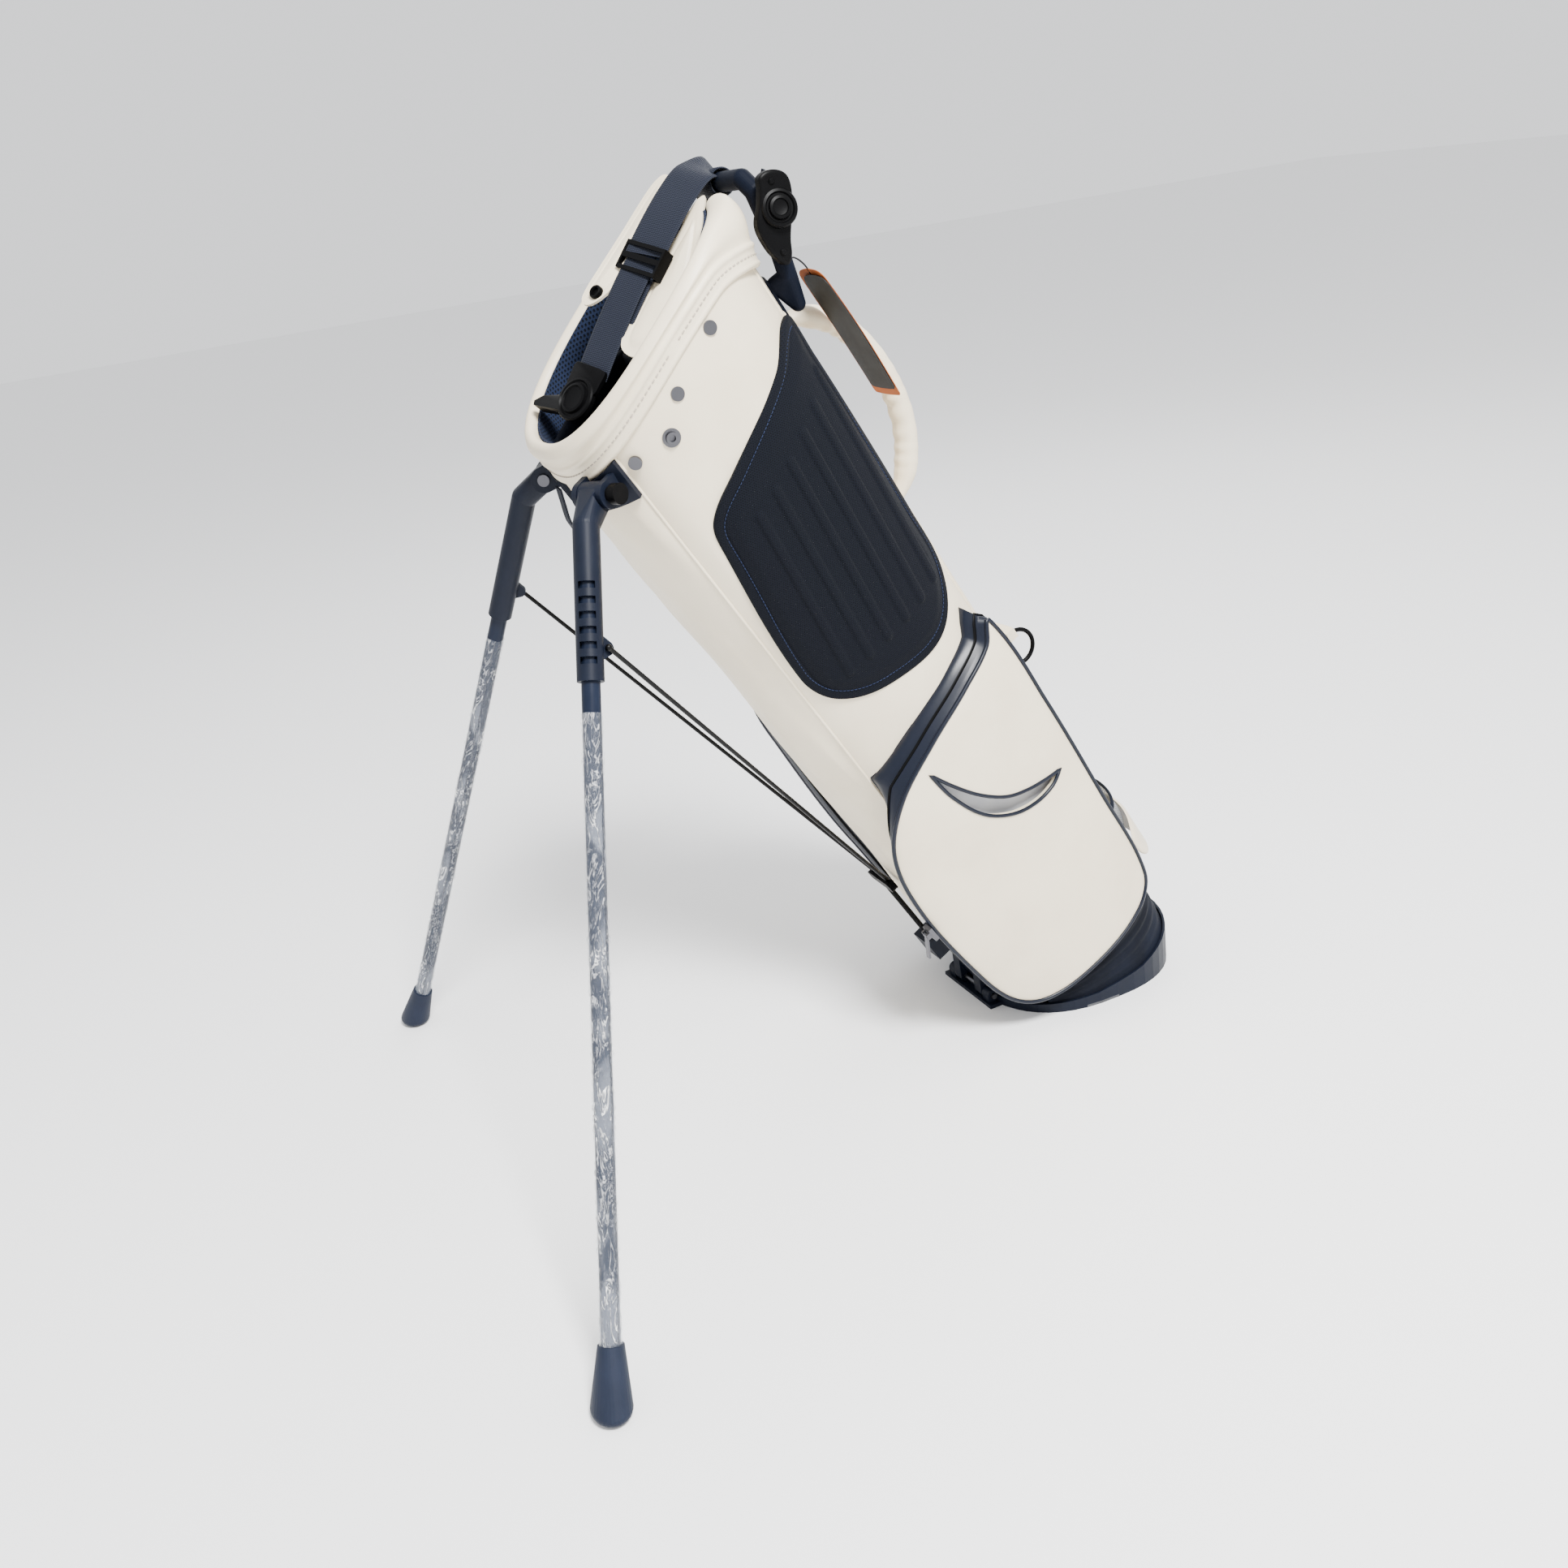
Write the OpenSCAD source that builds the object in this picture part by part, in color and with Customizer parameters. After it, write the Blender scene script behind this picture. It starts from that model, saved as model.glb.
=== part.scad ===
// Golf stand bag, legs out, standing on its hinged base foot and two leg feet.
// World frame: +Z up, -Y towards the legs, +X to the bag's own left.
// Bag frame: z runs up the bag's axis, -y faces the legs; bag() places it in the world.

/* [Stance] */
// Lean of the bag's axis from vertical, degrees
tilt = 29.2; // [28:0.1:30]
// Height of the base hinge above the floor
hinge_h = 11; // [11:0.5:12]
// Turn that closes the base foot when the bag stands upright, degrees
foot_close = 29.2; // [28:0.1:30]

/* [Body] */
// Half the width of the body
body_hw = 107; // [105:1:108]
// Front face of the body, ahead of its axis
body_front = 118; // [116:1:119]
// Rear face at the base, behind the axis
rear_low = 100; // [98:1:102]
// Rear face at the height named body_ref, behind the axis
rear_high = 120; // [118:1:121]
// Thickness of the outer skin panels
skin_t = 2; // [1.5:0.5:2]
// Thickness of the inner sleeve
tube_t = 3; // [2:0.5:3]
// Roundness of the body's section: 2 is an ellipse, larger is squarer
corner = 2.5; // [2.4:0.05:2.6]

/* [Cuff] */
// Highest point of the padded cuff
cuff_top = 862; // [859:1:864]
// Thickness of the cuff's padding inside the body line
cuff_in = 7; // [6:1:8]

/* [Legs] */
// Radius of the leg tubes
leg_r = 8; // [7.5:0.5:8]
// Radius of the leg pivot pins
pin_r = 4; // [3.5:0.5:4]
// Distance from the top of the leg line to the sole
leg_len = 742; // [738:1:746]

/* [Hidden] */
$fn = 48;

navy = "#222a44";
white = "#f1ece2";
black = "#17181b";
gunmetal = "#5b5a5e";
grey = "#8d8d8f";
kraft = "#b8672f";

step = 7.5;                    // degrees between the columns of the body's section
body_ref = 750;                // height at which rear_high is measured
hinge_fwd = 124;               // base hinge, ahead of the axis
hinge_up = 16;                 // base hinge, above the base plane
shell_low = 11;
skin_low = 62;                 // lower edge of the skins
gap = 0.6;                     // running gap between bodies
all_round = [for (t = [0 : step : 359]) t];

// ---- frames ----
function rot_x(v, a) = [v.x, v.y * cos(a) - v.z * sin(a), v.y * sin(a) + v.z * cos(a)];
function to_world(p) = rot_x(p + [0, hinge_fwd, -hinge_up], tilt) + [0, 0, hinge_h];
module bag() translate([0, 0, hinge_h]) rotate([tilt, 0, 0]) translate([0, hinge_fwd, -hinge_up]) children();
module both() { children(); mirror([1, 0, 0]) children(); }

// ---- the body's section ----
function sgn(v) = v < 0 ? -1 : 1;
function unit_se(t) = [sgn(cos(t)) * pow(abs(cos(t)), 2 / corner), sgn(sin(t)) * pow(abs(sin(t)), 2 / corner)];
function rear_at(z) = rear_low + (rear_high - rear_low) * z / body_ref;
function half_depth(z) = (body_front + rear_at(z)) / 2;
function mid_y(z) = (rear_at(z) - body_front) / 2;
// point of the section at angle t, off millimetres inside the skin's face, at height z
function sec(t, off, z) = let (u = unit_se(t))
    [(body_hw - off) * u.x, mid_y(z) + (half_depth(z) - off) * u.y, z];
// half width of the body at the depth y and height z
function side_x(y, z, off = 0) = let (k = min(1, abs(y - mid_y(z)) / (half_depth(z) - off)))
    (body_hw - off) * pow(1 - pow(k, corner), 1 / corner);
function front_y(x, z, off = 0) = mid_y(z)
    - (half_depth(z) - off) * pow(1 - pow(min(1, abs(x) / (body_hw - off)), corner), 1 / corner);
function rear_y(x, z, off = 0) = 2 * mid_y(z) - front_y(x, z, off);

// cuff's lower and upper edges as heights over the depth y
function cuff_low(y) = y < 60 ? 810 - 60 * pow((60 - y) / 178, 1.35) : 810 - 25 * pow((y - 60) / 61, 2);
function cuff_high(y) = y < 112 ? cuff_top - 70 * pow((112 - y) / 230, 1.1) : cuff_top - 61 * pow((y - 112) / 10, 2);

// wall between two offsets of the section over a list of angles; low(y) and high(y) are its edges
module band(ts, out, in, low, high, closed = false) {
    n = len(ts);
    function y_at(t) = sec(t, 0, body_ref).y;
    function out_at(t) = is_function(out) ? out(t) : out;
    pts = [for (t = ts) let (a = low(y_at(t)), b = high(y_at(t)), o = out_at(t))
        each [sec(t, o, a), sec(t, o, b), sec(t, in, b), sec(t, in, a)]];
    sides = [for (i = [0 : (closed ? n - 1 : n - 2)]) for (j = [0 : 3])
        let (k = (i + 1) % n, m = (j + 1) % 4) [4 * i + j, 4 * i + m, 4 * k + m, 4 * k + j]];
    caps = closed ? [] : [[0, 3, 2, 1], [for (j = [0 : 3]) 4 * (n - 1) + j]];
    polyhedron(pts, concat(sides, caps), convexity = 6);
}
function span(a, b) = [for (t = [a : step : b]) t];
// solid column inside an offset of the section
module column(off, z0, z1) {
    n = len(all_round);
    pts = [for (z = [z0, z1]) for (t = all_round) sec(t, off, z)];
    polyhedron(pts, concat([[for (i = [0 : n - 1]) i]], [[for (i = [0 : n - 1]) 2 * n - 1 - i]],
        [for (i = [0 : n - 1]) let (k = (i + 1) % n) [i, i + n, k + n, k]]), convexity = 2);
}
// an outline in depth and height, extruded across the bag
module side_block(outline, x0, x1) translate([x0, 0, 0]) rotate([90, 0, 90]) linear_extrude(x1 - x0) polygon(outline);

// ---- smooth curves through a few points ----
function unit(v) = norm(v) < 0.001 ? v : v / norm(v);
function cr(a, b, c, d, u) = let (l = norm(c - b), m = unit(c - a) * l, w = unit(d - b) * l)
    (2 * u * u * u - 3 * u * u + 1) * b + (u * u * u - 2 * u * u + u) * m
    + (3 * u * u - 2 * u * u * u) * c + (u * u * u - u * u) * w;
function smooth_loop(p, k) = let (n = len(p))
    [for (i = [0 : n - 1]) for (j = [0 : k - 1]) cr(p[(i + n - 1) % n], p[i], p[(i + 1) % n], p[(i + 2) % n], j / k)];
function smooth_path(p, k) = let (n = len(p)) concat(
    [for (i = [0 : n - 2]) for (j = [0 : k - 1]) cr(p[max(i - 1, 0)], p[i], p[i + 1], p[min(i + 2, n - 1)], j / k)],
    [p[n - 1]]);
// a round tube swept along a path that stays in a plane across X
module tube_yz(path, r, sides = 10) {
    n = len(path);
    function tangent(i) = let (d = path[min(i + 1, n - 1)] - path[max(i - 1, 0)]) d / norm(d);
    pts = [for (i = [0 : n - 1]) let (d = tangent(i), s = [0, -d.z, d.y])
        each [for (j = [0 : sides - 1]) let (a = 360 * j / sides) path[i] + r * (cos(a) * [1, 0, 0] + sin(a) * s)]];
    walls = [for (i = [0 : n - 2]) for (j = [0 : sides - 1]) let (k = (j + 1) % sides)
        [i * sides + j, i * sides + k, (i + 1) * sides + k, (i + 1) * sides + j]];
    polyhedron(pts, concat([[for (j = [0 : sides - 1]) sides - 1 - j]],
        [[for (j = [0 : sides - 1]) (n - 1) * sides + j]], walls), convexity = 4);
}
// a flat strap between two points, its width across the bag
module strap(a, b, width, t, roll = 0) {
    d = b - a;
    translate(a) rotate([-atan2(d.z, d.y) * 0 + atan2(d.z, d.y), 0, 0]) rotate([0, 0, -atan2(d.x, norm([d.y, d.z]))])
        rotate([0, roll, 0]) translate([-width / 2, 0, -t / 2]) cube([width, norm(d), t]);
}

// ---- base ----
shell_hw = body_hw + 2;
module base_oval(grow) translate([0, (rear_low + 2 - body_front - 2) / 2]) polygon([for (t = all_round)
    let (u = unit_se(t)) [(shell_hw + grow) * u.x, ((body_front + rear_low) / 2 + 2 + grow) * u.y]]);
module hinge_line(r, x0, x1) translate([x0, -hinge_fwd, hinge_up]) rotate([0, 90, 0]) cylinder(r = r, h = x1 - x0);
lug_r = 7;
module base_shell() color(navy) bag() difference() {
    union() {
        translate([0, 0, shell_low]) linear_extrude(skin_low - shell_low) base_oval(0);
        both() translate([14, -hinge_fwd, hinge_up]) hull() {
            rotate([0, 90, 0]) cylinder(r = lug_r, h = 13.4);
            translate([0, 6, 6]) cube([13.4, 3, 22]);
        }
    }
    column(1.5, shell_low + 6, skin_low + 20);
    both() hinge_line(lug_r + 1.5, 27.4, 43);
    hinge_line(3, -60, 60);
}
module hinge_pin() color(gunmetal) bag() hinge_line(3, -44, 44);

// the foot is drawn as it lies on the floor, its hinge above the world origin
foot_t = 5;
module foot_plan(grow) translate([0, hinge_fwd]) base_oval(grow);
foot_side = [[-30, 0], [-30, 9], [30, 10], [90, 14], [150, 24], [200, 40], [240, 52], [260, 52], [260, 0]];
module base_foot() color(navy) difference() {
    union() {
        intersection() {
            difference() {
                linear_extrude(70) foot_plan(3.6);
                translate([0, 0, foot_t]) linear_extrude(70) foot_plan(1.2);
            }
            side_block(foot_side, -130, 130);
        }
        // lip under the hinge
        translate([-48, -9, 0]) cube([96, 15, 4]);
        both() translate([28, 0, hinge_h]) hull() {
            rotate([0, 90, 0]) cylinder(r = lug_r, h = 13);
            translate([0, -6, -8]) cube([13, 11, 2]);
        }
    }
    // room for the shell's hinge lugs
    both() translate([13, 0, hinge_h]) rotate([0, 90, 0]) cylinder(r = lug_r + 1.5, h = 15);
    translate([0, 0, hinge_h]) rotate([0, 90, 0]) cylinder(r = 3.06, h = 120, center = true);
    both() foot_pad_shape(0);
}
// rubber sole pads, let into the foot's edge at its rear corners and its sides
module foot_pad_shape(lift) for (p = [[96, 96, 0], [82, 190, -38]])
    translate([p.x, p.y, -lift]) rotate([0, 0, p.z]) translate([-6, -20, 0]) cube([26, 40, 3 + lift]);
module foot_soles() color(black) both() intersection() {
    foot_pad_shape(0);
    linear_extrude(10) foot_plan(3.6);
}
// folded fabric skirt that closes the wedge between the shell and the foot
gusset_side = [[20, foot_t + 0.2], [224, foot_t + 0.2], [214, 60], [196, 100], [185, 103], [16, 13]];
module base_gusset() color(black) intersection() {
    difference() {
        linear_extrude(140) foot_plan(-6);
        translate([0, 0, -1]) linear_extrude(150) foot_plan(-8);
    }
    side_block(gusset_side, -130, 130);
}

// ---- sleeve, stays and skins ----
function level(v) = function (y) v;
sleeve_out = skin_t + 0.35;    // outer face of the sleeve, inside the skin's face
module main_sleeve() color(navy) bag() union() {
    band(all_round, sleeve_out, skin_t + tube_t, level(shell_low + 6), function (y) cuff_high(y) - 14, closed = true);
    translate([0, 0, shell_low + 6.05]) column_disc();
}
module column_disc() {
    intersection() { column(skin_t + tube_t, -5, 60); translate([-120, -130, 0]) cube([240, 260, 3]); }
}
module stay_rods() color(grey) bag() both() for (p = [[side_x(20, 400, 9.4), 20]])
    translate([p.x, p.y, 20.5]) cylinder(r = 3, h = 660);

module front_panel() color(white) bag() band(span(225, 315), 0, skin_t, level(skin_low), cuff_low_skin());
module left_panel() color(white) bag() band(span(-45, 60), 0, skin_t, level(skin_low), cuff_low_skin());
module right_panel() color(white) bag() mirror([1, 0, 0]) band(span(-45, 60), 0, skin_t, level(skin_low), cuff_low_skin());
module spine_panel() color(white) bag() band(span(60, 120), 0, skin_t, level(skin_low), cuff_low_skin());
function cuff_low_skin() = function (y) cuff_low(y) - 0.2;

// ---- cuff ----
cuff_out = -5;
// the padding swells into a peak at each rear corner
function swell(t, c) = 11 * exp(-pow((t - c) / 16, 2));
function cuff_face(t) = cuff_out - swell(t, 56) - swell(t, 124);
module cuff() color(white) bag() difference() {
    band(all_round, function (t) cuff_face(t), cuff_in, function (y) cuff_low(y), function (y) cuff_high(y), closed = true);
    band(all_round, skin_t, skin_t + tube_t, level(600), function (y) cuff_high(y) - 14, closed = true);
}
module cuff_lining() color(navy) bag() band(all_round, cuff_in + 0.35, cuff_in + 3, level(690),
    function (y) cuff_high(y) - 5, closed = true);

// ---- dividers: two long bars, one cross bar, each with its fabric wall down to the base ----
div_x = 38;
div_in = cuff_in + 4.2;
div_low = 22;
bar_h = 34;
function bar_top(y) = min(cuff_high(y) - 24, 795);
module divider_long(x) bag() {
    y0 = front_y(x, 700, div_in) + 1;
    y1 = rear_y(x, 700, div_in) - 1;
    ys = [for (i = [0 : 8]) y0 + (y1 - y0) * i / 8];
    top = [for (y = ys) [y, bar_top(y)]];
    low = [for (i = [8 : -1 : 0]) [ys[i], bar_top(ys[i]) - bar_h]];
    side_block(concat(top, low), x - 6, x + 6);
    side_block([[y0, 720], [y1, 720], [rear_y(x, 60, div_in) - 2, div_low], [y0, div_low]], x - 1, x + 1);
}
module divider_left() color(navy) divider_long(div_x);
module divider_right() color(navy) divider_long(-div_x);
module divider_cross() color(navy) bag() {
    z = bar_top(0) - 2;
    translate([-div_x + 6.2, -6, z - bar_h]) cube([2 * div_x - 12.4, 12, bar_h]);
    translate([-div_x + 1.2, -1, div_low]) cube([2 * div_x - 2.4, 2, 698]);
}

// ---- carrying handle moulded across the rear of the mouth ----
handle_x = 56;
handle_r = 8.5;
module top_handle() color(navy) bag() {
    // mounting plate on the spine below the cuff, and two posts that rise to the grip
    band(span(67.5, 112.5), -4, -0.1, level(735), function (y) 778);
    both() {
        hull() {
            translate([handle_x - 8, 130, 744]) sphere(7, $fn = 24);
            translate([handle_x - 8, 122, 770]) sphere(7, $fn = 24);
            translate([handle_x, 133, 770]) sphere(handle_r, $fn = 24);
        }
        hull() {
            translate([handle_x, 133, 770]) sphere(handle_r, $fn = 24);
            translate([handle_x, 142, 800]) sphere(handle_r, $fn = 24);
        }
        hull() {
            translate([handle_x, 142, 800]) sphere(handle_r, $fn = 24);
            translate([handle_x - 4, 151, 842]) sphere(handle_r, $fn = 24);
        }
        hull() {
            translate([handle_x - 4, 151, 842]) sphere(handle_r, $fn = 24);
            translate([handle_x - 14, 152, 853]) sphere(handle_r, $fn = 24);
        }
    }
    translate([0, 152, 853]) rotate([0, 90, 0]) cylinder(r = handle_r, h = 2 * (handle_x - 14), center = true);
}

// ---- legs ----
pivot = [71, -119.6, 747];
pivot_dir = [0.8954, 0.4145, -0.1624];
leg_top = [80.6, -126, 759.2];
leg_dir = [0.3746, -0.6688, -0.6415];
function aim(v) = [0, acos(v.z / norm(v)), atan2(v.y, v.x)];
module at_pivot() translate(pivot) rotate(aim(pivot_dir)) children();
module at_leg(d) translate(leg_top + leg_dir * d) rotate(aim(leg_dir)) children();
eye_r = 11.5;
eye_h = 22;
ear_in = eye_h / 2 + gap;
ear_t = 6;
module left_side_bracket() bag() difference() {
    union() {
        band(span(277.5, 315), -7, -0.05, level(724), function (y) cuff_low(y) - 0.3);
        both_ears();
        at_pivot() translate([-10, 15.5, -ear_in - ear_t]) cube([24, 8, 2 * (ear_in + ear_t)]);
    }
    at_pivot() cylinder(r = pin_r, h = 80, center = true);
    // room for the knuckle's eye and neck over the whole fold
    at_pivot() cylinder(r = eye_r + 1, h = eye_h + 2 * gap, center = true);
    band(span(277.5, 330), 0, 40, level(690), function (y) cuff_low(y) + 0.1);
    band(span(277.5, 330), cuff_out - 0.4, 30, function (y) cuff_low(y) - 0.3, level(800));
}
module both_ears() for (s = [-1, 1]) at_pivot() translate([0, 0, s > 0 ? ear_in : -ear_in - ear_t]) hull() {
    cylinder(r = 12, h = ear_t, $fn = 32);
    translate([-10, 15.5, 0]) cube([24, 8, ear_t]);
}
module left_bracket() color(navy) left_side_bracket();
module right_bracket() color(navy) mirror([1, 0, 0]) left_side_bracket();
knob_z = ear_in + ear_t;
module pivot_pins() color(gunmetal) bag() both() at_pivot() {
    translate([0, 0, -knob_z]) cylinder(r = pin_r, h = 2 * knob_z + 6);
    translate([0, 0, -knob_z - 2.5]) cylinder(r = 5.5, h = 2.5);
}
module pivot_knobs() color(black) bag() both() at_pivot() difference() {
    union() {
        translate([0, 0, knob_z]) cylinder(r = 7, h = 5);
        translate([0, 0, knob_z + 4]) cylinder(r = 9, h = 8);
    }
    translate([0, 0, knob_z - 1]) cylinder(r = pin_r, h = 7);
}

socket_top = 70;
socket_end = 160;
socket_r = 11.5;
wire_ear = [13.5, 3.6, 132];
module knuckle() bag() difference() {
    union() {
        at_pivot() cylinder(r = eye_r, h = eye_h, center = true);
        hull() {
            at_pivot() cylinder(r = eye_r - 0.5, h = eye_h - 2, center = true, $fn = 32);
            at_leg(30) sphere(socket_r, $fn = 32);
        }
        at_leg(30) cylinder(r = socket_r, h = socket_end - 30);
        // fin beside which the wire's end pivots
        at_leg(wire_ear.z) hull() {
            translate([wire_ear.x, wire_ear.y, 0]) rotate([-90, 0, 0]) cylinder(r = 6, h = 4, $fn = 32);
            translate([4, 3.6, -10]) cube([4, 4, 20]);
        }
    }
    at_pivot() cylinder(r = pin_r + 0.06, h = 80, center = true);
    at_leg(socket_top) cylinder(r = leg_r, h = 200);
    // room for the bracket's ears on both sides of the eye
    for (m = [0, 1]) at_pivot() mirror([0, 0, m]) translate([0, 0, ear_in - 0.45]) cylinder(r = 14.5, h = 30);
    // ladder openings that show the tube
    for (i = [0 : 5]) at_leg(78 + 12.5 * i) rotate([0, 0, 136]) translate([4, -7, 0]) cube([10, 14, 6]);
}
module leg_tube() bag() at_leg(socket_top) difference() {
    cylinder(r = leg_r, h = leg_len - 30 - socket_top);
    translate([0, 0, -1]) cylinder(r = leg_r - 1.2, h = leg_len);
}
film_start = 195;
module leg_film() bag() at_leg(film_start) difference() {
    cylinder(r = leg_r + 0.8, h = leg_len - 52 - film_start);
    translate([0, 0, -1]) cylinder(r = leg_r, h = leg_len);
}
sole_spot = to_world(leg_top + leg_dir * leg_len);
module leg_foot() difference() {
    hull() {
        bag() at_leg(leg_len - 52) cylinder(r = 11, h = 24, $fn = 32);
        translate([sole_spot.x, sole_spot.y, 7]) scale([21, 17, 9]) sphere(1, $fn = 32);
        translate([sole_spot.x - 5, sole_spot.y + 6, 16]) scale([15, 11, 8]) sphere(1, $fn = 32);
    }
    bag() at_leg(leg_len - 53) cylinder(r = leg_r, h = 24);
    translate([sole_spot.x, sole_spot.y, -10]) cube([80, 80, 20], center = true);
}
module left_knuckle() color(navy) knuckle();
module right_knuckle() color(navy) mirror([1, 0, 0]) knuckle();
module left_tube() color(navy) leg_tube();
module right_tube() color(navy) mirror([1, 0, 0]) leg_tube();
module left_sleeve_film() color([0.9, 0.92, 0.95, 0.4]) leg_film();
module right_sleeve_film() color([0.9, 0.92, 0.95, 0.4]) mirror([1, 0, 0]) leg_film();
module left_foot() color(navy) leg_foot();
module right_foot() color(navy) mirror([1, 0, 0]) leg_foot();

// ---- push rod and wires that swing the legs ----
rod_y = -130;
slider_z = 205;
wire_r = 2;
wire_low = [14, -128, 205];
wire_tip = [136.2, -202.8, 666];
module push_rod() color(black) bag() difference() {
    union() {
        hull() {
            translate([-19, rod_y, slider_z]) rotate([90, 0, 0]) cylinder(r = 6, h = 8, center = true, $fn = 32);
            translate([19, rod_y, slider_z]) rotate([90, 0, 0]) cylinder(r = 6, h = 8, center = true, $fn = 32);
        }
        translate([0, rod_y, 82]) cylinder(r = 3, h = slider_z - 82);
    }
    both() wire_fork();
}
// directions of a wire with the legs out and folded
wire_out = wire_tip - wire_low;
wire_folded = [74, 9.4, 477];
wire_axis = [-0.84712, -0.51222, 0.14147];
module wire_fork() translate(wire_low) {
    rotate(aim(wire_axis)) cylinder(r = 3.06, h = 5.6, center = true);
    hull() for (d = [wire_out, wire_folded]) rotate(aim(d)) translate([0, 0, 1]) cylinder(r = 2.6, h = 40, $fn = 24);
}
module wire() bag() {
    translate(wire_low) rotate(aim(wire_out)) cylinder(r = wire_r, h = norm(wire_out), $fn = 24);
    translate(wire_low) rotate(aim(wire_axis)) cylinder(r = 3, h = 5, center = true);
    translate(wire_tip) sphere(3, $fn = 24);
}
module left_wire() color(black) wire();
module right_wire() color(black) mirror([1, 0, 0]) wire();
module rod_guide() color(black) bag() difference() {
    translate([-15, rod_y - 10, 84]) cube([30, -rod_y + 10 - body_front - 0.1, 28]);
    translate([0, rod_y, 80]) cylinder(r = 3.06, h = 40);
}
module leg_strap() color(black) bag() hull() {
    translate([-36, -127, 738]) sphere(4.5, $fn = 24);
    translate([-40, -134, 706]) sphere(3, $fn = 24);
}

// ---- pockets ----
left_outline = smooth_loop([[90, 414], [72, 398], [30, 386], [-30, 369], [-86, 342], [-124, 297],
    [-138, 224], [-134, 120], [-122, 56], [-96, 27], [-38, 17], [46, 24], [76, 50], [84, 170], [91, 300]], 4);
left_plan = concat([[60, -60], [80, -84], [99, -112]], smooth_path([[101, -136], [109, -140], [119, -128], [126, -90], [131, -20],
    [128, 45], [117, 84], [105, 97], [92, 97]], 4), [[78, 82], [60, 50]]);
module pocket_plan(plan, in) linear_extrude(480) offset(delta = -in) polygon(plan);
module pocket_outer(outline, plan, in) intersection() {
    side_block(outline, 60, 180);
    pocket_plan(plan, in);
}
crescent_low = [[-51, 345], [-47, 310], [-33, 272], [-10, 248], [18, 236], [44, 234], [58, 238]];
crescent_high = [[58, 238], [40, 244], [20, 252], [-4, 267], [-24, 291], [-38, 318], [-51, 345]];
function crescent() = concat(smooth_path(crescent_low, 3), smooth_path(crescent_high, 3));
module left_pocket_panel() color(white) bag() difference() {
    pocket_outer(left_outline, left_plan, 0);
    pocket_plan(left_plan, 2.5);
    column(-0.05, 0, 480);
    base_room();
    side_block(crescent(), 100, 160);
}
// space beside the shell for the rim of the closed foot
module base_room() linear_extrude(68) base_oval(5.2);
module inset_block(outline, in) translate([60, 0, 0]) rotate([90, 0, 90]) linear_extrude(120) offset(delta = -in) polygon(outline);
module left_pocket_gusset() color(navy) bag() difference() {
    pocket_outer(left_outline, left_plan, 2.5);
    inset_block(left_outline, 4);
    column(-0.05, 0, 480);
    base_room();
}
right_outline = smooth_loop([[80, 440], [30, 446], [-50, 440], [-92, 405], [-104, 330], [-108, 180], [-90, 60], [-20, 34],
    [60, 40], [84, 90], [90, 240], [92, 370]], 4);
right_plan = concat([[60, -50], [76, -80]], smooth_path([[97, -106], [122, -112], [143, -98], [154, -60], [158, -10], [150, 50],
    [128, 84], [110, 96], [92, 96]], 4), [[78, 82], [60, 50]]);
module right_pocket_panel() color(white) bag() mirror([1, 0, 0]) difference() {
    pocket_outer(right_outline, right_plan, 0);
    pocket_plan(right_plan, 2.5);
    column(-0.05, 0, 480);
    base_room();
}
module right_pocket_gusset() color(navy) bag() mirror([1, 0, 0]) difference() {
    pocket_outer(right_outline, right_plan, 2.5);
    inset_block(right_outline, 4);
    column(-0.05, 0, 480);
    base_room();
}
pouch_z = 64;
// the pouch's wall swells out from the spine between two side seams
pouch_from = 52.5;
pouch_to = 120;
function pouch_off(t) = -1 - 19 * pow(max(0, sin(180 * (t - pouch_from) / (pouch_to - pouch_from))), 0.45);
module shaped_band(ts, out, in, z0, z1) {
    n = len(ts);
    pts = [for (t = ts) each [sec(t, out(t), z0), sec(t, out(t), z1), sec(t, in(t), z1), sec(t, in(t), z0)]];
    sides = [for (i = [0 : n - 2]) for (j = [0 : 3]) let (m = (j + 1) % 4) [4 * i + j, 4 * i + m, 4 * i + 4 + m, 4 * i + 4 + j]];
    polyhedron(pts, concat(sides, [[0, 3, 2, 1], [for (j = [0 : 3]) 4 * (n - 1) + j]]), convexity = 4);
}
module rear_pouch() color(grey) bag() {
    shaped_band(span(pouch_from, pouch_to), function (t) pouch_off(t), function (t) pouch_off(t) + 0.9, pouch_z, 108);
    shaped_band(span(60, 112.5), function (t) pouch_off(t) + 1, function (t) -0.05, pouch_z, pouch_z + 2);
}
module pouch_flap() color(white) bag() band(span(45, 127.5), -24, -20.1, level(pouch_z - 34), function (y) 84);
zip_pin = [112, -149, 200];
module zip_slider() color(gunmetal) bag() union() {
    translate([106, -146, 190]) cube([12, 4.5, 16]);
    for (x = [106.5, 115.2]) translate([x, -150.5, 197]) cube([2.3, 6, 6]);
    translate(zip_pin) rotate([0, 90, 0]) cylinder(r = 1, h = 9, center = true, $fn = 24);
}
module zip_pull() color(gunmetal) bag() translate(zip_pin) rotate([-tilt, 0, 0]) difference() {
    union() {
        rotate([0, 90, 0]) cylinder(r = 2.2, h = 5.6, center = true, $fn = 32);
        translate([-2.8, -1, -26]) cube([5.6, 2, 25]);
    }
    rotate([0, 90, 0]) cylinder(r = 1.06, h = 9, center = true, $fn = 24);
}

// ---- hip pad ----
pad_outline = smooth_loop([[106, 749], [58, 729], [-22, 693], [-59, 671], [-68, 642], [-82, 496], [-68, 459], [-21, 437],
    [48, 435], [90, 476], [99, 536], [107, 635], [109, 706]], 3);
module hip_pad() color(navy) bag() intersection() {
    side_block(pad_outline, 20, 140);
    band(span(-60, 82.5), -6, -0.4, level(420), function (y) 770);
}

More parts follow.
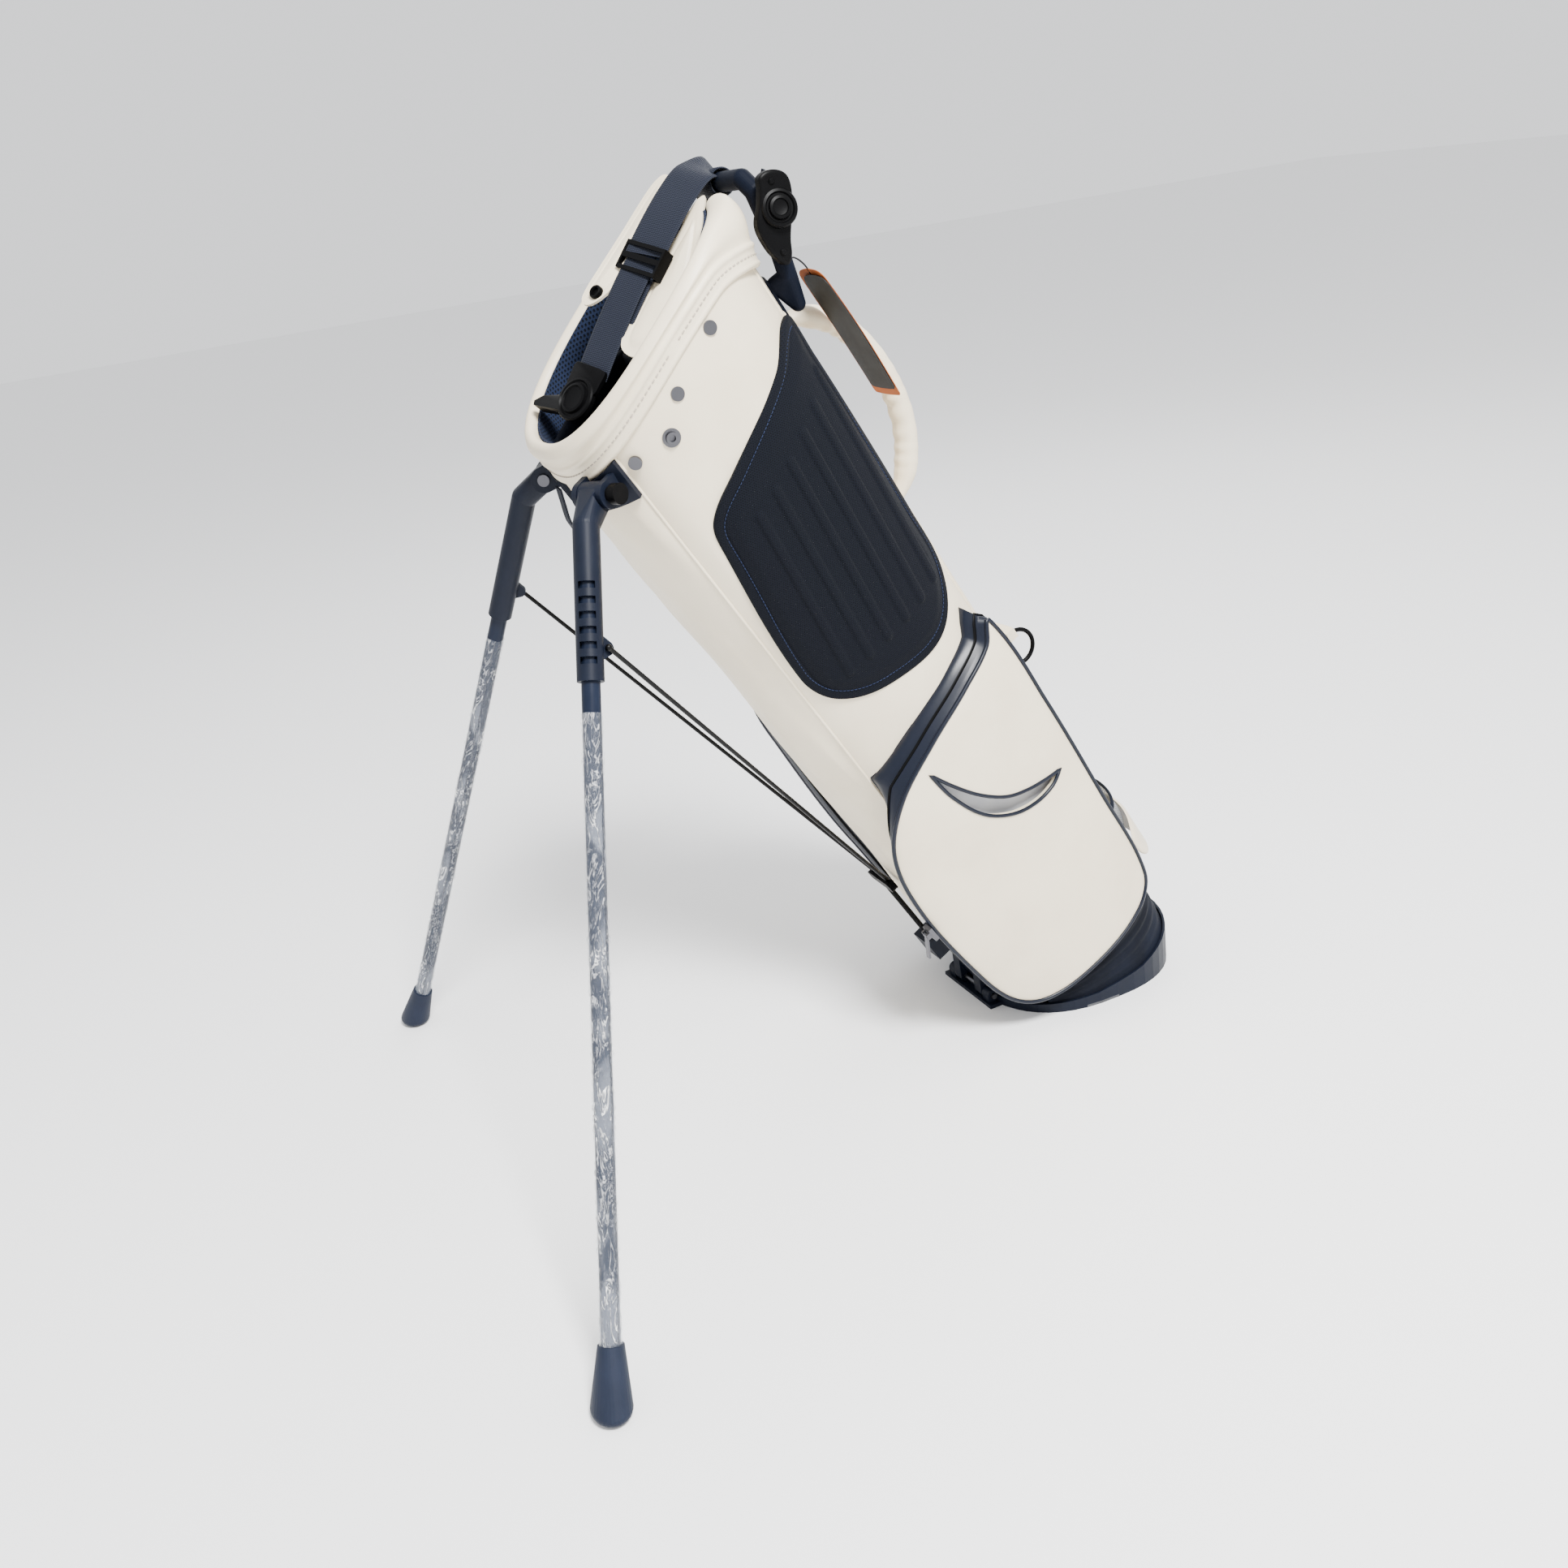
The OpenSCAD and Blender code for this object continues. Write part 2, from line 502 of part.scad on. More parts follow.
// ---- soft grab handle on the spine ----
grab_path = smooth_path([[0, 120, 724], [0, 148, 716], [0, 173, 684], [0, 183, 632], [0, 174, 578], [0, 148, 536],
    [0, 118, 516]], 4);
module grab_handle() color(white) bag() difference() {
    tube_yz(grab_path, 12.5, 12);
    column(-0.1, 400, 800);
}

// ---- straps ----
loop_at = [-19, 152, 853];
glide_at = [-4, 55, 846];
clip_at = [0, -67, 796];
strap_roll = 23;
module webbing_upper() color(navy) bag() strap([-13, 140, 873], glide_at + [0, 16, 8], 44, 3, strap_roll);
module webbing_lower() color(navy) bag() strap(glide_at + [0, -16, -5], clip_at + [1, 30, 14.5], 34, 2.6, strap_roll);
module strap_loop() color(navy) bag() translate(loop_at) rotate([0, 90, 0]) difference() {
    cylinder(r = handle_r + 5, h = 37, center = true);
    cylinder(r = handle_r + 0.1, h = 60, center = true);
}
glide_slope = atan2(glide_at.z - clip_at.z, glide_at.y - clip_at.y);
module tri_glide() color(black) bag() translate(glide_at) rotate([glide_slope, 0, 0]) rotate([0, strap_roll, 0]) difference() {
    translate([-25, -13, -5]) cube([50, 26, 11]);
    translate([-22.6, -9.5, -10]) cube([45.2, 7, 30]);
    translate([-22.6, 2.5, -10]) cube([45.2, 7, 30]);
    translate([-22.6, -20, -3]) cube([45.2, 40, 7.4]);
}
module front_clip() color(black) bag() translate(clip_at) rotate([glide_slope, 0, 0]) rotate([0, strap_roll, 0]) union() {
    cylinder(r = 19, h = 7);
    translate([0, 0, 7]) cylinder(r = 13, h = 2);
    difference() {
        translate([-22, 6, 0]) cube([44, 22, 6]);
        translate([-19, 16, -1]) cube([38, 7, 9]);
    }
}
module front_clip_arm() color(black) bag() difference() {
    hull() {
        translate(clip_at + [0, 0, -8]) cylinder(r = 12, h = 6, $fn = 32);
        translate([-60, -82, 800]) rotate([20, 0, 40]) cube([12, 5, 12], center = true);
    }
    translate(clip_at) rotate([glide_slope, 0, 0]) rotate([0, strap_roll, 0]) translate([0, 0, -0.2]) cylinder(r = 19.4, h = 20);
}
module rear_clip() color(black) bag() translate([78, 146, 815]) rotate([0, 90, 0]) union() {
    cylinder(r = 17, h = 8);
    translate([0, 0, 8]) cylinder(r = 12, h = 2);
    difference() {
        hull() {
            translate([-34, -6, 0]) cylinder(r = 6, h = 6, $fn = 32);
            translate([-34, 12, 0]) cylinder(r = 6, h = 6, $fn = 32);
            translate([10, -24, 0]) cylinder(r = 5, h = 6, $fn = 32);
        }
        translate([-34, -6, -1]) cube([7, 20, 9]);
    }
}
module rear_webbing() color(navy) bag() strap([67, 162, 833], [32, 170, 841], 16, 2.6);
// room for the glide, cut from the pads under it
module glide_room() translate(glide_at) rotate([glide_slope, 0, 0]) rotate([0, strap_roll, 0])
    translate([-25.3, -13.3, -5.3]) cube([50.6, 26.6, 12]);
module shoulder_pad_left() color(white) bag() difference() {
    hull() for (p = [[3, 125, 859], [2, 42, 829], [37, 54, 813], [6, -12, 815], [38, 2, 806]]) translate(p) sphere(3.5, $fn = 24);
    glide_room();
}
module shoulder_pad_right() color(white) bag() difference() {
    hull() for (p = [[-30, 128, 872], [-30, 84, 869], [-52, 92, 866], [-44, 22, 856], [-18, 34, 848], [-34, -2, 838],
        [-20, 8, 838]]) translate(p) sphere(3.5, $fn = 24);
    glide_room();
    // eyelet
    translate([-26, 9, 843]) rotate([22, 24, 0]) cylinder(r = 3.2, h = 30, center = true, $fn = 24);
}

// ---- small hardware ----
rivet_spots = [[34, 797], [-21, 775], [-80, 751]];
module rivets() color(gunmetal) bag() both() for (p = rivet_spots)
    translate([side_x(p.x, p.y, p.x < -60 ? -2 : -0.8), p.x, p.y]) rotate([0, 90, p.x < -60 ? -34 : 0]) cylinder(r = 6, h = 2.5);
module snap_studs() color(gunmetal) bag() both() translate([side_x(-46, 750) + 0.8, -46, 750]) rotate([0, 90, -8]) difference() {
    union() { cylinder(r = 8, h = 1.5); cylinder(r = 5, h = 4); }
    translate([0, 0, 1.5]) cylinder(r = 3, h = 4);
}
ring_at = [76, 112, 346];
ring_major = 17.5;
module ring_tab() color(white) bag() difference() {
    hull() {
        translate([38, 98, 366]) cube([8, 12, 10]);
        translate([71, 107, 358]) cube([10, 10, 11]);
    }
    column(-0.1, 340, 400);
    translate(ring_at + [0, 0, ring_major - 0.3]) rotate([90, 0, 0]) cylinder(r = 3.4, h = 60, center = true);
}
module towel_ring() color(black) bag() translate(ring_at) rotate([0, 90, 0])
    rotate_extrude() translate([ring_major, 0]) circle(r = 2.2);
module hang_tags() color(kraft) bag() {
    translate([16, 156, 623]) cube([48, 1, 134]);
    translate([20, 157.6, 634]) cube([40, 1, 116]);
    // cord round the handle's post
    translate([40, 156.5, 757]) cylinder(r = 1, h = 6, $fn = 24);
    translate([40, 156.5, 762]) rotate([52, 0, 43]) cylinder(r = 1, h = 21, $fn = 24);
}

base_shell();
main_sleeve();
stay_rods();
front_panel();
left_panel();
right_panel();
spine_panel();
cuff();
cuff_lining();
divider_left();
divider_right();
divider_cross();
top_handle();
left_bracket();
right_bracket();
pivot_pins();
pivot_knobs();
hip_pad();
left_pocket_panel();
left_pocket_gusset();
right_pocket_panel();
right_pocket_gusset();
rear_pouch();
pouch_flap();
grab_handle();
shoulder_pad_left();
shoulder_pad_right();
webbing_upper();
webbing_lower();
strap_loop();
tri_glide();
front_clip();
front_clip_arm();
rear_clip();
rear_webbing();
rivets();
snap_studs();
ring_tab();
towel_ring();
hang_tags();
rod_guide();
leg_strap();
hinge_pin();
base_foot();
foot_soles();
base_gusset();
left_knuckle();
left_tube();
left_sleeve_film();
left_foot();
right_knuckle();
right_tube();
right_sleeve_film();
right_foot();
push_rod();
left_wire();
right_wire();
zip_slider();
zip_pull();
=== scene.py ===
"""Golf stand bag on its two legs: soft parts, finishes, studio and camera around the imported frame."""

import logging
import math
from collections.abc import Callable, Sequence
from dataclasses import dataclass, field
from enum import Enum

import bmesh
import bpy
import numpy as np
from mathutils import Matrix, Vector

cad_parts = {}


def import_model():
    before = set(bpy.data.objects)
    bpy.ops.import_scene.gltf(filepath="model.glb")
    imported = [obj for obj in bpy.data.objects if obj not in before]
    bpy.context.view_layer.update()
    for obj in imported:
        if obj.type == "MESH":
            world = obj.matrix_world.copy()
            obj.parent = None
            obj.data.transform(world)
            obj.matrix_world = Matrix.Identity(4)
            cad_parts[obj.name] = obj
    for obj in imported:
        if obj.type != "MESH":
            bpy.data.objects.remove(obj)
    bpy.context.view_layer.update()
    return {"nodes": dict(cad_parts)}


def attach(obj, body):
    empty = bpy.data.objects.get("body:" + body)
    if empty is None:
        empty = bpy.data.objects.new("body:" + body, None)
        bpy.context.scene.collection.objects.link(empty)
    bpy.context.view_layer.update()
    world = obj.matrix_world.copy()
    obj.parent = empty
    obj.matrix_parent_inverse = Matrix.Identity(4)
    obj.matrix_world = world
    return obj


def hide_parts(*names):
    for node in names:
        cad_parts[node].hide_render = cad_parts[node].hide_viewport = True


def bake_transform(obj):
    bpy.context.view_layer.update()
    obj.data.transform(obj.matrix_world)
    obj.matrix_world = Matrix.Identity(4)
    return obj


log = logging.getLogger("stand_bag")

MM = 0.001
BODY = "bag"
NAVY = (0.004, 0.006, 0.013)
NAVY_DARK = (0.0018, 0.0026, 0.0055)
# height of the hinged foot's side wall over its sole, along its depth from the hinge
FOOT_WALL = ((-30.0, 30.0, 90.0, 150.0, 200.0, 240.0), (9.0, 10.0, 14.0, 24.0, 40.0, 52.0))
NAVY_PLASTIC = (0.0045, 0.0064, 0.0128)
IVORY = (0.74, 0.65, 0.487)
BLACK = (0.0014, 0.0014, 0.0016)
GREY_LINING = (0.55, 0.56, 0.58)

Array = np.ndarray
Colour = tuple[float, float, float]


# --------------------------------------------------------------------------- bag frame


@dataclass(frozen=True)
class Stance:
    """How the bag stands: its axis leans forward about the base hinge."""

    tilt: float = 29.2
    hinge_fwd: float = 124.0
    hinge_up: float = 16.0
    hinge_h: float = 11.0

    def world(self, p: Array) -> Array:
        """Take points from the bag's frame in millimetres to the world in metres.

        Args:
            p: Array of shape (..., 3), in millimetres.

        Returns:
            The same points in metres, in the shared frame.
        """
        q = np.asarray(p, float) + np.array([0.0, self.hinge_fwd, -self.hinge_up])
        a = math.radians(self.tilt)
        y = q[..., 1] * math.cos(a) - q[..., 2] * math.sin(a)
        z = q[..., 1] * math.sin(a) + q[..., 2] * math.cos(a) + self.hinge_h
        return np.stack([q[..., 0], y, z], -1) * MM


@dataclass(frozen=True)
class Section:
    """The body's cross-section: a rounded oblong that deepens towards the mouth."""

    half_width: float = 107.0
    front: float = 118.0
    rear_low: float = 100.0
    rear_high: float = 120.0
    ref_height: float = 750.0
    corner: float = 2.5
    cuff_top: float = 862.0

    def half_depth(self, z: Array) -> Array:
        """Half the section's depth at height z."""
        return (self.front + self._rear(z)) / 2

    def mid(self, z: Array) -> Array:
        """Depth of the section's middle at height z."""
        return (self._rear(z) - self.front) / 2

    def _rear(self, z: Array) -> Array:
        return self.rear_low + (self.rear_high - self.rear_low) * np.asarray(z, float) / self.ref_height

    def at(self, t: Array, off: Array, z: Array) -> Array:
        """Points of the section.

        Args:
            t: Angle round the section in degrees, from the bag's left side towards its rear.
            off: Distance inside the skin's face.
            z: Height along the bag.

        Returns:
            Points in the bag's frame.
        """
        t, off, z = np.broadcast_arrays(np.radians(t), np.asarray(off, float), np.asarray(z, float))
        c, s = np.cos(t), np.sin(t)
        x = (self.half_width - off) * np.sign(c) * np.abs(c) ** (2 / self.corner)
        y = self.mid(z) + (self.half_depth(z) - off) * np.sign(s) * np.abs(s) ** (2 / self.corner)
        return np.stack([x, y, z], -1)

    def side(self, y: Array, z: Array, out: Array, limit: float = 0.995) -> Array:
        """Points on the left side, found by their depth.

        Args:
            y: Depth of each point.
            z: Height of each point.
            out: Distance outside the skin's face.
            limit: Largest share of the half depth that y may reach.

        Returns:
            Points in the bag's frame.
        """
        y, z, out = np.broadcast_arrays(np.asarray(y, float), np.asarray(z, float), np.asarray(out, float))
        u = np.clip((y - self.mid(z)) / self.half_depth(z), -limit, limit)
        x = (self.half_width + out) * (1 - np.abs(u) ** self.corner) ** (1 / self.corner)
        return np.stack([x, self.mid(z) + (self.half_depth(z) + out) * u, z], -1)

    def cuff_low(self, y: Array) -> Array:
        """Height of the cuff's lower edge at depth y."""
        y = np.asarray(y, float)
        drop = 60 * (np.clip(60 - y, 0, None) / 178) ** 1.35
        return 810 - drop - 25 * (np.clip(y - 60, 0, None) / 61) ** 2

    def cuff_high(self, y: Array) -> Array:
        """Height of the cuff's top edge at depth y."""
        y = np.asarray(y, float)
        drop = 70 * (np.clip(112 - y, 0, None) / 230) ** 1.1
        return self.cuff_top - drop - 61 * (np.clip(y - 112, 0, None) / 10) ** 2

    def cuff_swell(self, t: Array) -> Array:
        """How much further the cuff's padding stands out, which peaks at both rear corners."""
        t = np.asarray(t, float)
        return 11 * (np.exp(-(((t - 56) / 16) ** 2)) + np.exp(-(((t - 124) / 16) ** 2)))

    def depth_at(self, t: Array) -> Array:
        """Depth of the skin at angle t, at the reference height."""
        return self.at(t, 0.0, self.ref_height)[..., 1]


STANCE = Stance()
SECTION = Section()


# --------------------------------------------------------------------------- curves


def smooth_step(x: Array, low: float, high: float) -> Array:
    """Ease from 0 at low to 1 at high."""
    t = np.clip((np.asarray(x, float) - low) / (high - low), 0, 1)
    return t * t * (3 - 2 * t)


def hermite(points: Sequence[Sequence[float]], count: int, closed: bool = False) -> Array:
    """Smooth curve through a few points, with tangents scaled to each span.

    Args:
        points: The points it passes.
        count: Number of points to return, evenly spaced along it.
        closed: Whether it returns to its start.

    Returns:
        Array of count points.
    """
    p = np.asarray(points, float)
    n = len(p)
    spans = n if closed else n - 1
    out = []
    for i in range(spans):
        b, c = p[i], p[(i + 1) % n]
        a = p[i - 1] if closed or i else b
        d = p[(i + 2) % n] if closed or i + 2 < n else c
        size = np.linalg.norm(c - b)
        m, w = (c - a) / np.linalg.norm(c - a) * size, (d - b) / np.linalg.norm(d - b) * size
        u = np.linspace(0, 1, 24, endpoint=False)[:, None]
        out.append((2 * u**3 - 3 * u**2 + 1) * b + (u**3 - 2 * u**2 + u) * m + (3 * u**2 - 2 * u**3) * c + (u**3 - u**2) * w)
    out.append(p[:1] if closed else p[-1:])
    line = np.concatenate(out)
    return resample(line, count, closed)


def resample(line: Array, count: int, closed: bool = False) -> Array:
    """Spread count points evenly along a polyline; a closed one repeats its first point at the end."""
    length = np.concatenate([[0], np.cumsum(np.linalg.norm(np.diff(line, axis=0), axis=1))])
    at = np.linspace(0, length[-1], count, endpoint=not closed)
    return np.stack([np.interp(at, length, line[:, k]) for k in range(line.shape[1])], -1)


def edge_distance(points: Array, loop: Array) -> Array:
    """Distance from each 2-D point to a closed loop."""
    a, b = loop, np.roll(loop, -1, 0)
    ab = b - a
    ap = points[:, None, :] - a[None]
    t = np.clip((ap * ab).sum(-1) / (ab * ab).sum(-1), 0, 1)
    return np.sqrt(((ap - t[..., None] * ab) ** 2).sum(-1)).min(1)


def frames(path: Array, up: Sequence[float]) -> tuple[Array, Array, Array]:
    """Directions along a path.

    Args:
        path: Points of the path.
        up: Direction that the side vector stays square to as far as it can.

    Returns:
        Unit tangents, sides and ups for each point.
    """
    tangent = np.gradient(path, axis=0)
    tangent /= np.linalg.norm(tangent, axis=1, keepdims=True)
    side = np.cross(np.broadcast_to(np.asarray(up, float), path.shape), tangent)
    side /= np.linalg.norm(side, axis=1, keepdims=True)
    return tangent, side, np.cross(tangent, side)


def ripple(a: Array, b: Array, seed: int, waves: int = 6, size: float = 1.0) -> Array:
    """Smooth irregular waves, as slack fabric has.

    Args:
        a: First coordinate, in millimetres.
        b: Second coordinate, in millimetres.
        seed: Picks the pattern.
        waves: Number of waves added up.
        size: Scales all wavelengths.

    Returns:
        Values between about -1 and 1.
    """
    rng = np.random.default_rng(seed)
    total = np.zeros(np.broadcast(a, b).shape)
    for _ in range(waves):
        angle, phase = rng.uniform(0, math.pi), rng.uniform(0, 2 * math.pi)
        wave = rng.uniform(45, 130) * size
        total = total + np.sin((a * math.cos(angle) + b * math.sin(angle)) * 2 * math.pi / wave + phase)
    return total / math.sqrt(waves)


# --------------------------------------------------------------------------- meshes


@dataclass
class MeshParts:
    """Points, faces and flat coordinates of one piece, gathered before it becomes an object."""

    points: list[Array] = field(default_factory=list)
    faces: list[tuple[int, ...]] = field(default_factory=list)
    flat: list[Array] = field(default_factory=list)
    count: int = 0

    def add(self, points: Array, faces: Sequence[tuple[int, ...]], flat: Array | None = None) -> None:
        """Add points in the bag's frame, faces that index them and their flat coordinates."""
        points = np.asarray(points, float).reshape(-1, 3)
        flat = np.zeros((len(points), 2)) if flat is None else np.asarray(flat, float).reshape(-1, 2)
        self.points.append(points)
        self.flat.append(flat)
        self.faces += [tuple(i + self.count for i in f) for f in faces]
        self.count += len(points)

    def add_grid(self, grid: Array, wrap_rows: bool = False, wrap_columns: bool = False,
                 caps: bool = False) -> None:
        """Add a surface given as rows of points.

        Args:
            grid: Array of shape (rows, columns, 3).
            wrap_rows: Join the last row to the first.
            wrap_columns: Join the last column to the first.
            caps: Close both ends of a tube, whose columns are wrapped.
        """
        rows, columns = grid.shape[:2]
        faces = [
            (i * columns + j, i * columns + (j + 1) % columns,
             (i + 1) % rows * columns + (j + 1) % columns, (i + 1) % rows * columns + j)
            for i in range(rows if wrap_rows else rows - 1)
            for j in range(columns if wrap_columns else columns - 1)
        ]
        if caps:
            faces.append(tuple(reversed(range(columns))))
            faces.append(tuple((rows - 1) * columns + j for j in range(columns)))
        along = np.concatenate([[0], np.cumsum(np.linalg.norm(np.diff(grid, axis=0), axis=-1).mean(1))])
        across = np.concatenate([[0], np.cumsum(np.linalg.norm(np.diff(grid, axis=1), axis=-1).mean(0))])
        flat = np.stack(np.meshgrid(along, across, indexing="ij"), -1) * MM
        self.add(grid, faces, flat)

    def add_tube(self, path: Array, radius: float | Array, sides: int = 12, closed: bool = False,
                 up: Sequence[float] = (0.13, 0.21, 0.97), squash: float = 1.0) -> None:
        """Add a tube along a path.

        Args:
            path: Points of its centre line.
            radius: One radius, or one for each point.
            sides: Number of sides.
            closed: Whether the path is a loop.
            up: Reference direction for its cross-section.
            squash: Height of the cross-section over its width.
        """
        if closed:
            tangent = np.roll(path, -1, 0) - np.roll(path, 1, 0)
            tangent /= np.linalg.norm(tangent, axis=1, keepdims=True)
            side = np.cross(np.asarray(up, float), tangent)
            side /= np.linalg.norm(side, axis=1, keepdims=True)
            lift = np.cross(tangent, side)
        else:
            _, side, lift = frames(path, up)
        a = np.linspace(0, 2 * math.pi, sides, endpoint=False)
        r = np.broadcast_to(np.asarray(radius, float), (len(path),))[:, None, None]
        ring = side[:, None] * np.cos(a)[None, :, None] + lift[:, None] * np.sin(a)[None, :, None] * squash
        self.add_grid(path[:, None] + r * ring, wrap_rows=closed, wrap_columns=True, caps=not closed)

    def add_ribbon(self, path: Array, width: float | Array, thickness: float, up: Sequence[float],
                   edge: int = 3) -> None:
        """Add a flat strap with rounded edges.

        Args:
            path: Points of its centre line.
            width: One width, or one for each point.
            thickness: Thickness of the strap.
            up: Direction its flat face looks towards.
            edge: Number of points round each edge.
        """
        _, side, lift = frames(path, up)
        a = np.linspace(-math.pi / 2, math.pi / 2, edge)
        half = np.broadcast_to(np.asarray(width, float), (len(path),))[:, None, None] / 2
        h = thickness / 2
        flats = np.linspace(-0.8, 0.8, 5)
        right = [(1.0, h * math.cos(v), h * math.sin(v)) for v in a]
        top = [(v, 0.0, h) for v in flats[::-1]]
        left = [(-1.0, -h * math.cos(v), -h * math.sin(v)) for v in a]
        low = [(v, 0.0, -h) for v in flats]
        loop = np.array(right + top + left + low)
        share, push, rise = (loop[:, k][None, :, None] for k in range(3))
        self.add_grid(path[:, None] + side[:, None] * (share * half + push) + lift[:, None] * rise,
                      wrap_columns=True, caps=True)

    def add_lathe(self, profile: Sequence[tuple[float, float]], place: Callable[[Array], Array],
                  sides: int = 48) -> None:
        """Add a turned shape.

        Args:
            profile: Radius and height of each ring, from one end on the axis to the other.
            place: Takes points about the Z axis to the bag's frame.
            sides: Number of sides.
        """
        a = np.linspace(0, 2 * math.pi, sides, endpoint=False)
        ring = np.stack([np.cos(a), np.sin(a), np.zeros(sides)], -1)
        grid = np.stack([ring * max(r, 0.01) + np.array([0, 0, h]) for r, h in profile])
        self.add_grid(place(grid), wrap_columns=True, caps=True)

    def make(self, name: str, smooth_angle: float = 50.0) -> bpy.types.Object:
        """Make the object, in metres in the shared frame.

        Args:
            name: Name of the piece.
            smooth_angle: Edges flatter than this many degrees are shaded smooth.

        Returns:
            The linked object.
        """
        points = STANCE.world(np.concatenate(self.points))
        mesh = bpy.data.meshes.new(name)
        mesh.from_pydata([tuple(p) for p in points], [], self.faces)
        flat = np.concatenate(self.flat)
        layer = mesh.uv_layers.new(name="flat")
        corner = np.zeros(len(mesh.loops), np.int32)
        mesh.loops.foreach_get("vertex_index", corner)
        layer.data.foreach_set("uv", flat[corner].ravel())
        obj = bpy.data.objects.new(name, mesh)
        bpy.context.scene.collection.objects.link(obj)
        clean(obj, smooth_angle)
        return obj


def clean(obj: bpy.types.Object, smooth_angle: float) -> None:
    """Turn an object's faces outwards and shade it smooth below an angle in degrees."""
    bm = bmesh.new()
    bm.from_mesh(obj.data)
    bmesh.ops.recalc_face_normals(bm, faces=bm.faces)
    limit = math.radians(smooth_angle)
    for face in bm.faces:
        face.smooth = True
    for edge in bm.edges:
        if len(edge.link_faces) == 2:
            edge.smooth = edge.calc_face_angle(0.0) < limit
    bm.to_mesh(obj.data)
    bm.free()


def apply_modifier(obj: bpy.types.Object, kind: str, **settings: object) -> None:
    """Add a modifier to an object with the given settings and apply it."""
    modifier = obj.modifiers.new(kind.lower(), kind)
    for key, value in settings.items():
        setattr(modifier, key, value)
    bpy.context.view_layer.objects.active = obj
    with bpy.context.temp_override(object=obj, active_object=obj, selected_objects=[obj]):
        bpy.ops.object.modifier_apply(modifier=modifier.name)


@dataclass
class Patch:
    """A padded sheet inside a closed outline, laid over a surface.

    Attributes:
        outline: Closed loop in the surface's two coordinates.
        place: Takes the two coordinates and a height to the bag's frame.
        rise: Takes the two coordinates and the distance to the edge, and gives the height.
        rings: Rings from the edge to the middle.
        back: Height of the underside.
    """

    outline: Array
    place: Callable[[Array, Array, Array], Array]
    rise: Callable[[Array, Array, Array], Array]
    rings: int = 40
    back: float = 0.0

    def build(self, parts: MeshParts) -> None:
        """Add the patch, closed by its underside, to a mesh."""
        centre = self.outline.mean(0)
        n = len(self.outline)
        share = 1 - np.linspace(0, 1, self.rings) ** 1.25
        share[-1] = 0.004
        flat = centre + share[:, None, None] * (self.outline - centre)[None]
        points = flat.reshape(-1, 2)
        gap = edge_distance(points, self.outline)
        gap[:n] = 0
        high = self.rise(points[:, 0], points[:, 1], gap)
        top = self.place(points[:, 0], points[:, 1], high).reshape(self.rings, n, 3)
        base = self.place(points[:n, 0], points[:n, 1], np.full(n, self.back)).reshape(1, n, 3)
        inner = centre + 0.004 * (self.outline - centre)
        low = self.place(inner[:, 0], inner[:, 1], np.full(n, self.back)).reshape(1, n, 3)
        rows = 6
        under = [
            self.place(*(centre + s * (self.outline - centre)).T, np.full(n, self.back)).reshape(1, n, 3)
            for s in np.linspace(1, 0.004, rows)[1:-1]
        ]
        grid = np.concatenate([top[::-1], base, *under, low])
        faces = [
            (i * n + j, i * n + (j + 1) % n, (i + 1) * n + (j + 1) % n, (i + 1) * n + j)
            for i in range(len(grid) - 1) for j in range(n)
        ]
        faces += [tuple(range(n)), tuple((len(grid) - 1) * n + j for j in reversed(range(n)))]
        extra = np.concatenate([
            flat[::-1].reshape(-1, 2), self.outline,
            *[centre + s * (self.outline - centre) for s in np.linspace(1, 0.004, rows)[1:-1]], inner,
        ])
        parts.add(grid.reshape(-1, 3), faces, extra * MM)


def stitches(path: Array, up: Array, pitch: float = 4.6, length: float = 3.0, radius: float = 0.45,
             closed: bool = False) -> MeshParts:
    """A row of thread stitches along a path.

    Args:
        path: Points of the row, on the fabric's face.
        up: Outward direction at each point.
        pitch: Distance from stitch to stitch.
        length: Length of a stitch.
        radius: Half the thread's thickness.
        closed: Whether the row is a loop.

    Returns:
        The stitches as one mesh.
    """
    span = np.linalg.norm(np.diff(path, axis=0), axis=1).sum()
    count = max(int(span / pitch), 2)
    spots = resample(np.concatenate([path, up], 1), count, closed)
    parts = MeshParts()
    along = np.gradient(spots[:, :3], axis=0)
    for k in range(1, count - 1):
        d = along[k] / np.linalg.norm(along[k])
        n = spots[k, 3:] / np.linalg.norm(spots[k, 3:])
        steps = np.array([-0.5, -0.3, 0.3, 0.5])[:, None] * length
        rise = np.array([-0.2, 0.3, 0.3, -0.2])[:, None]
        parts.add_tube(spots[k, :3] + steps * d + rise * n, radius, sides=5, up=n)
    return parts


# --------------------------------------------------------------------------- shader maths


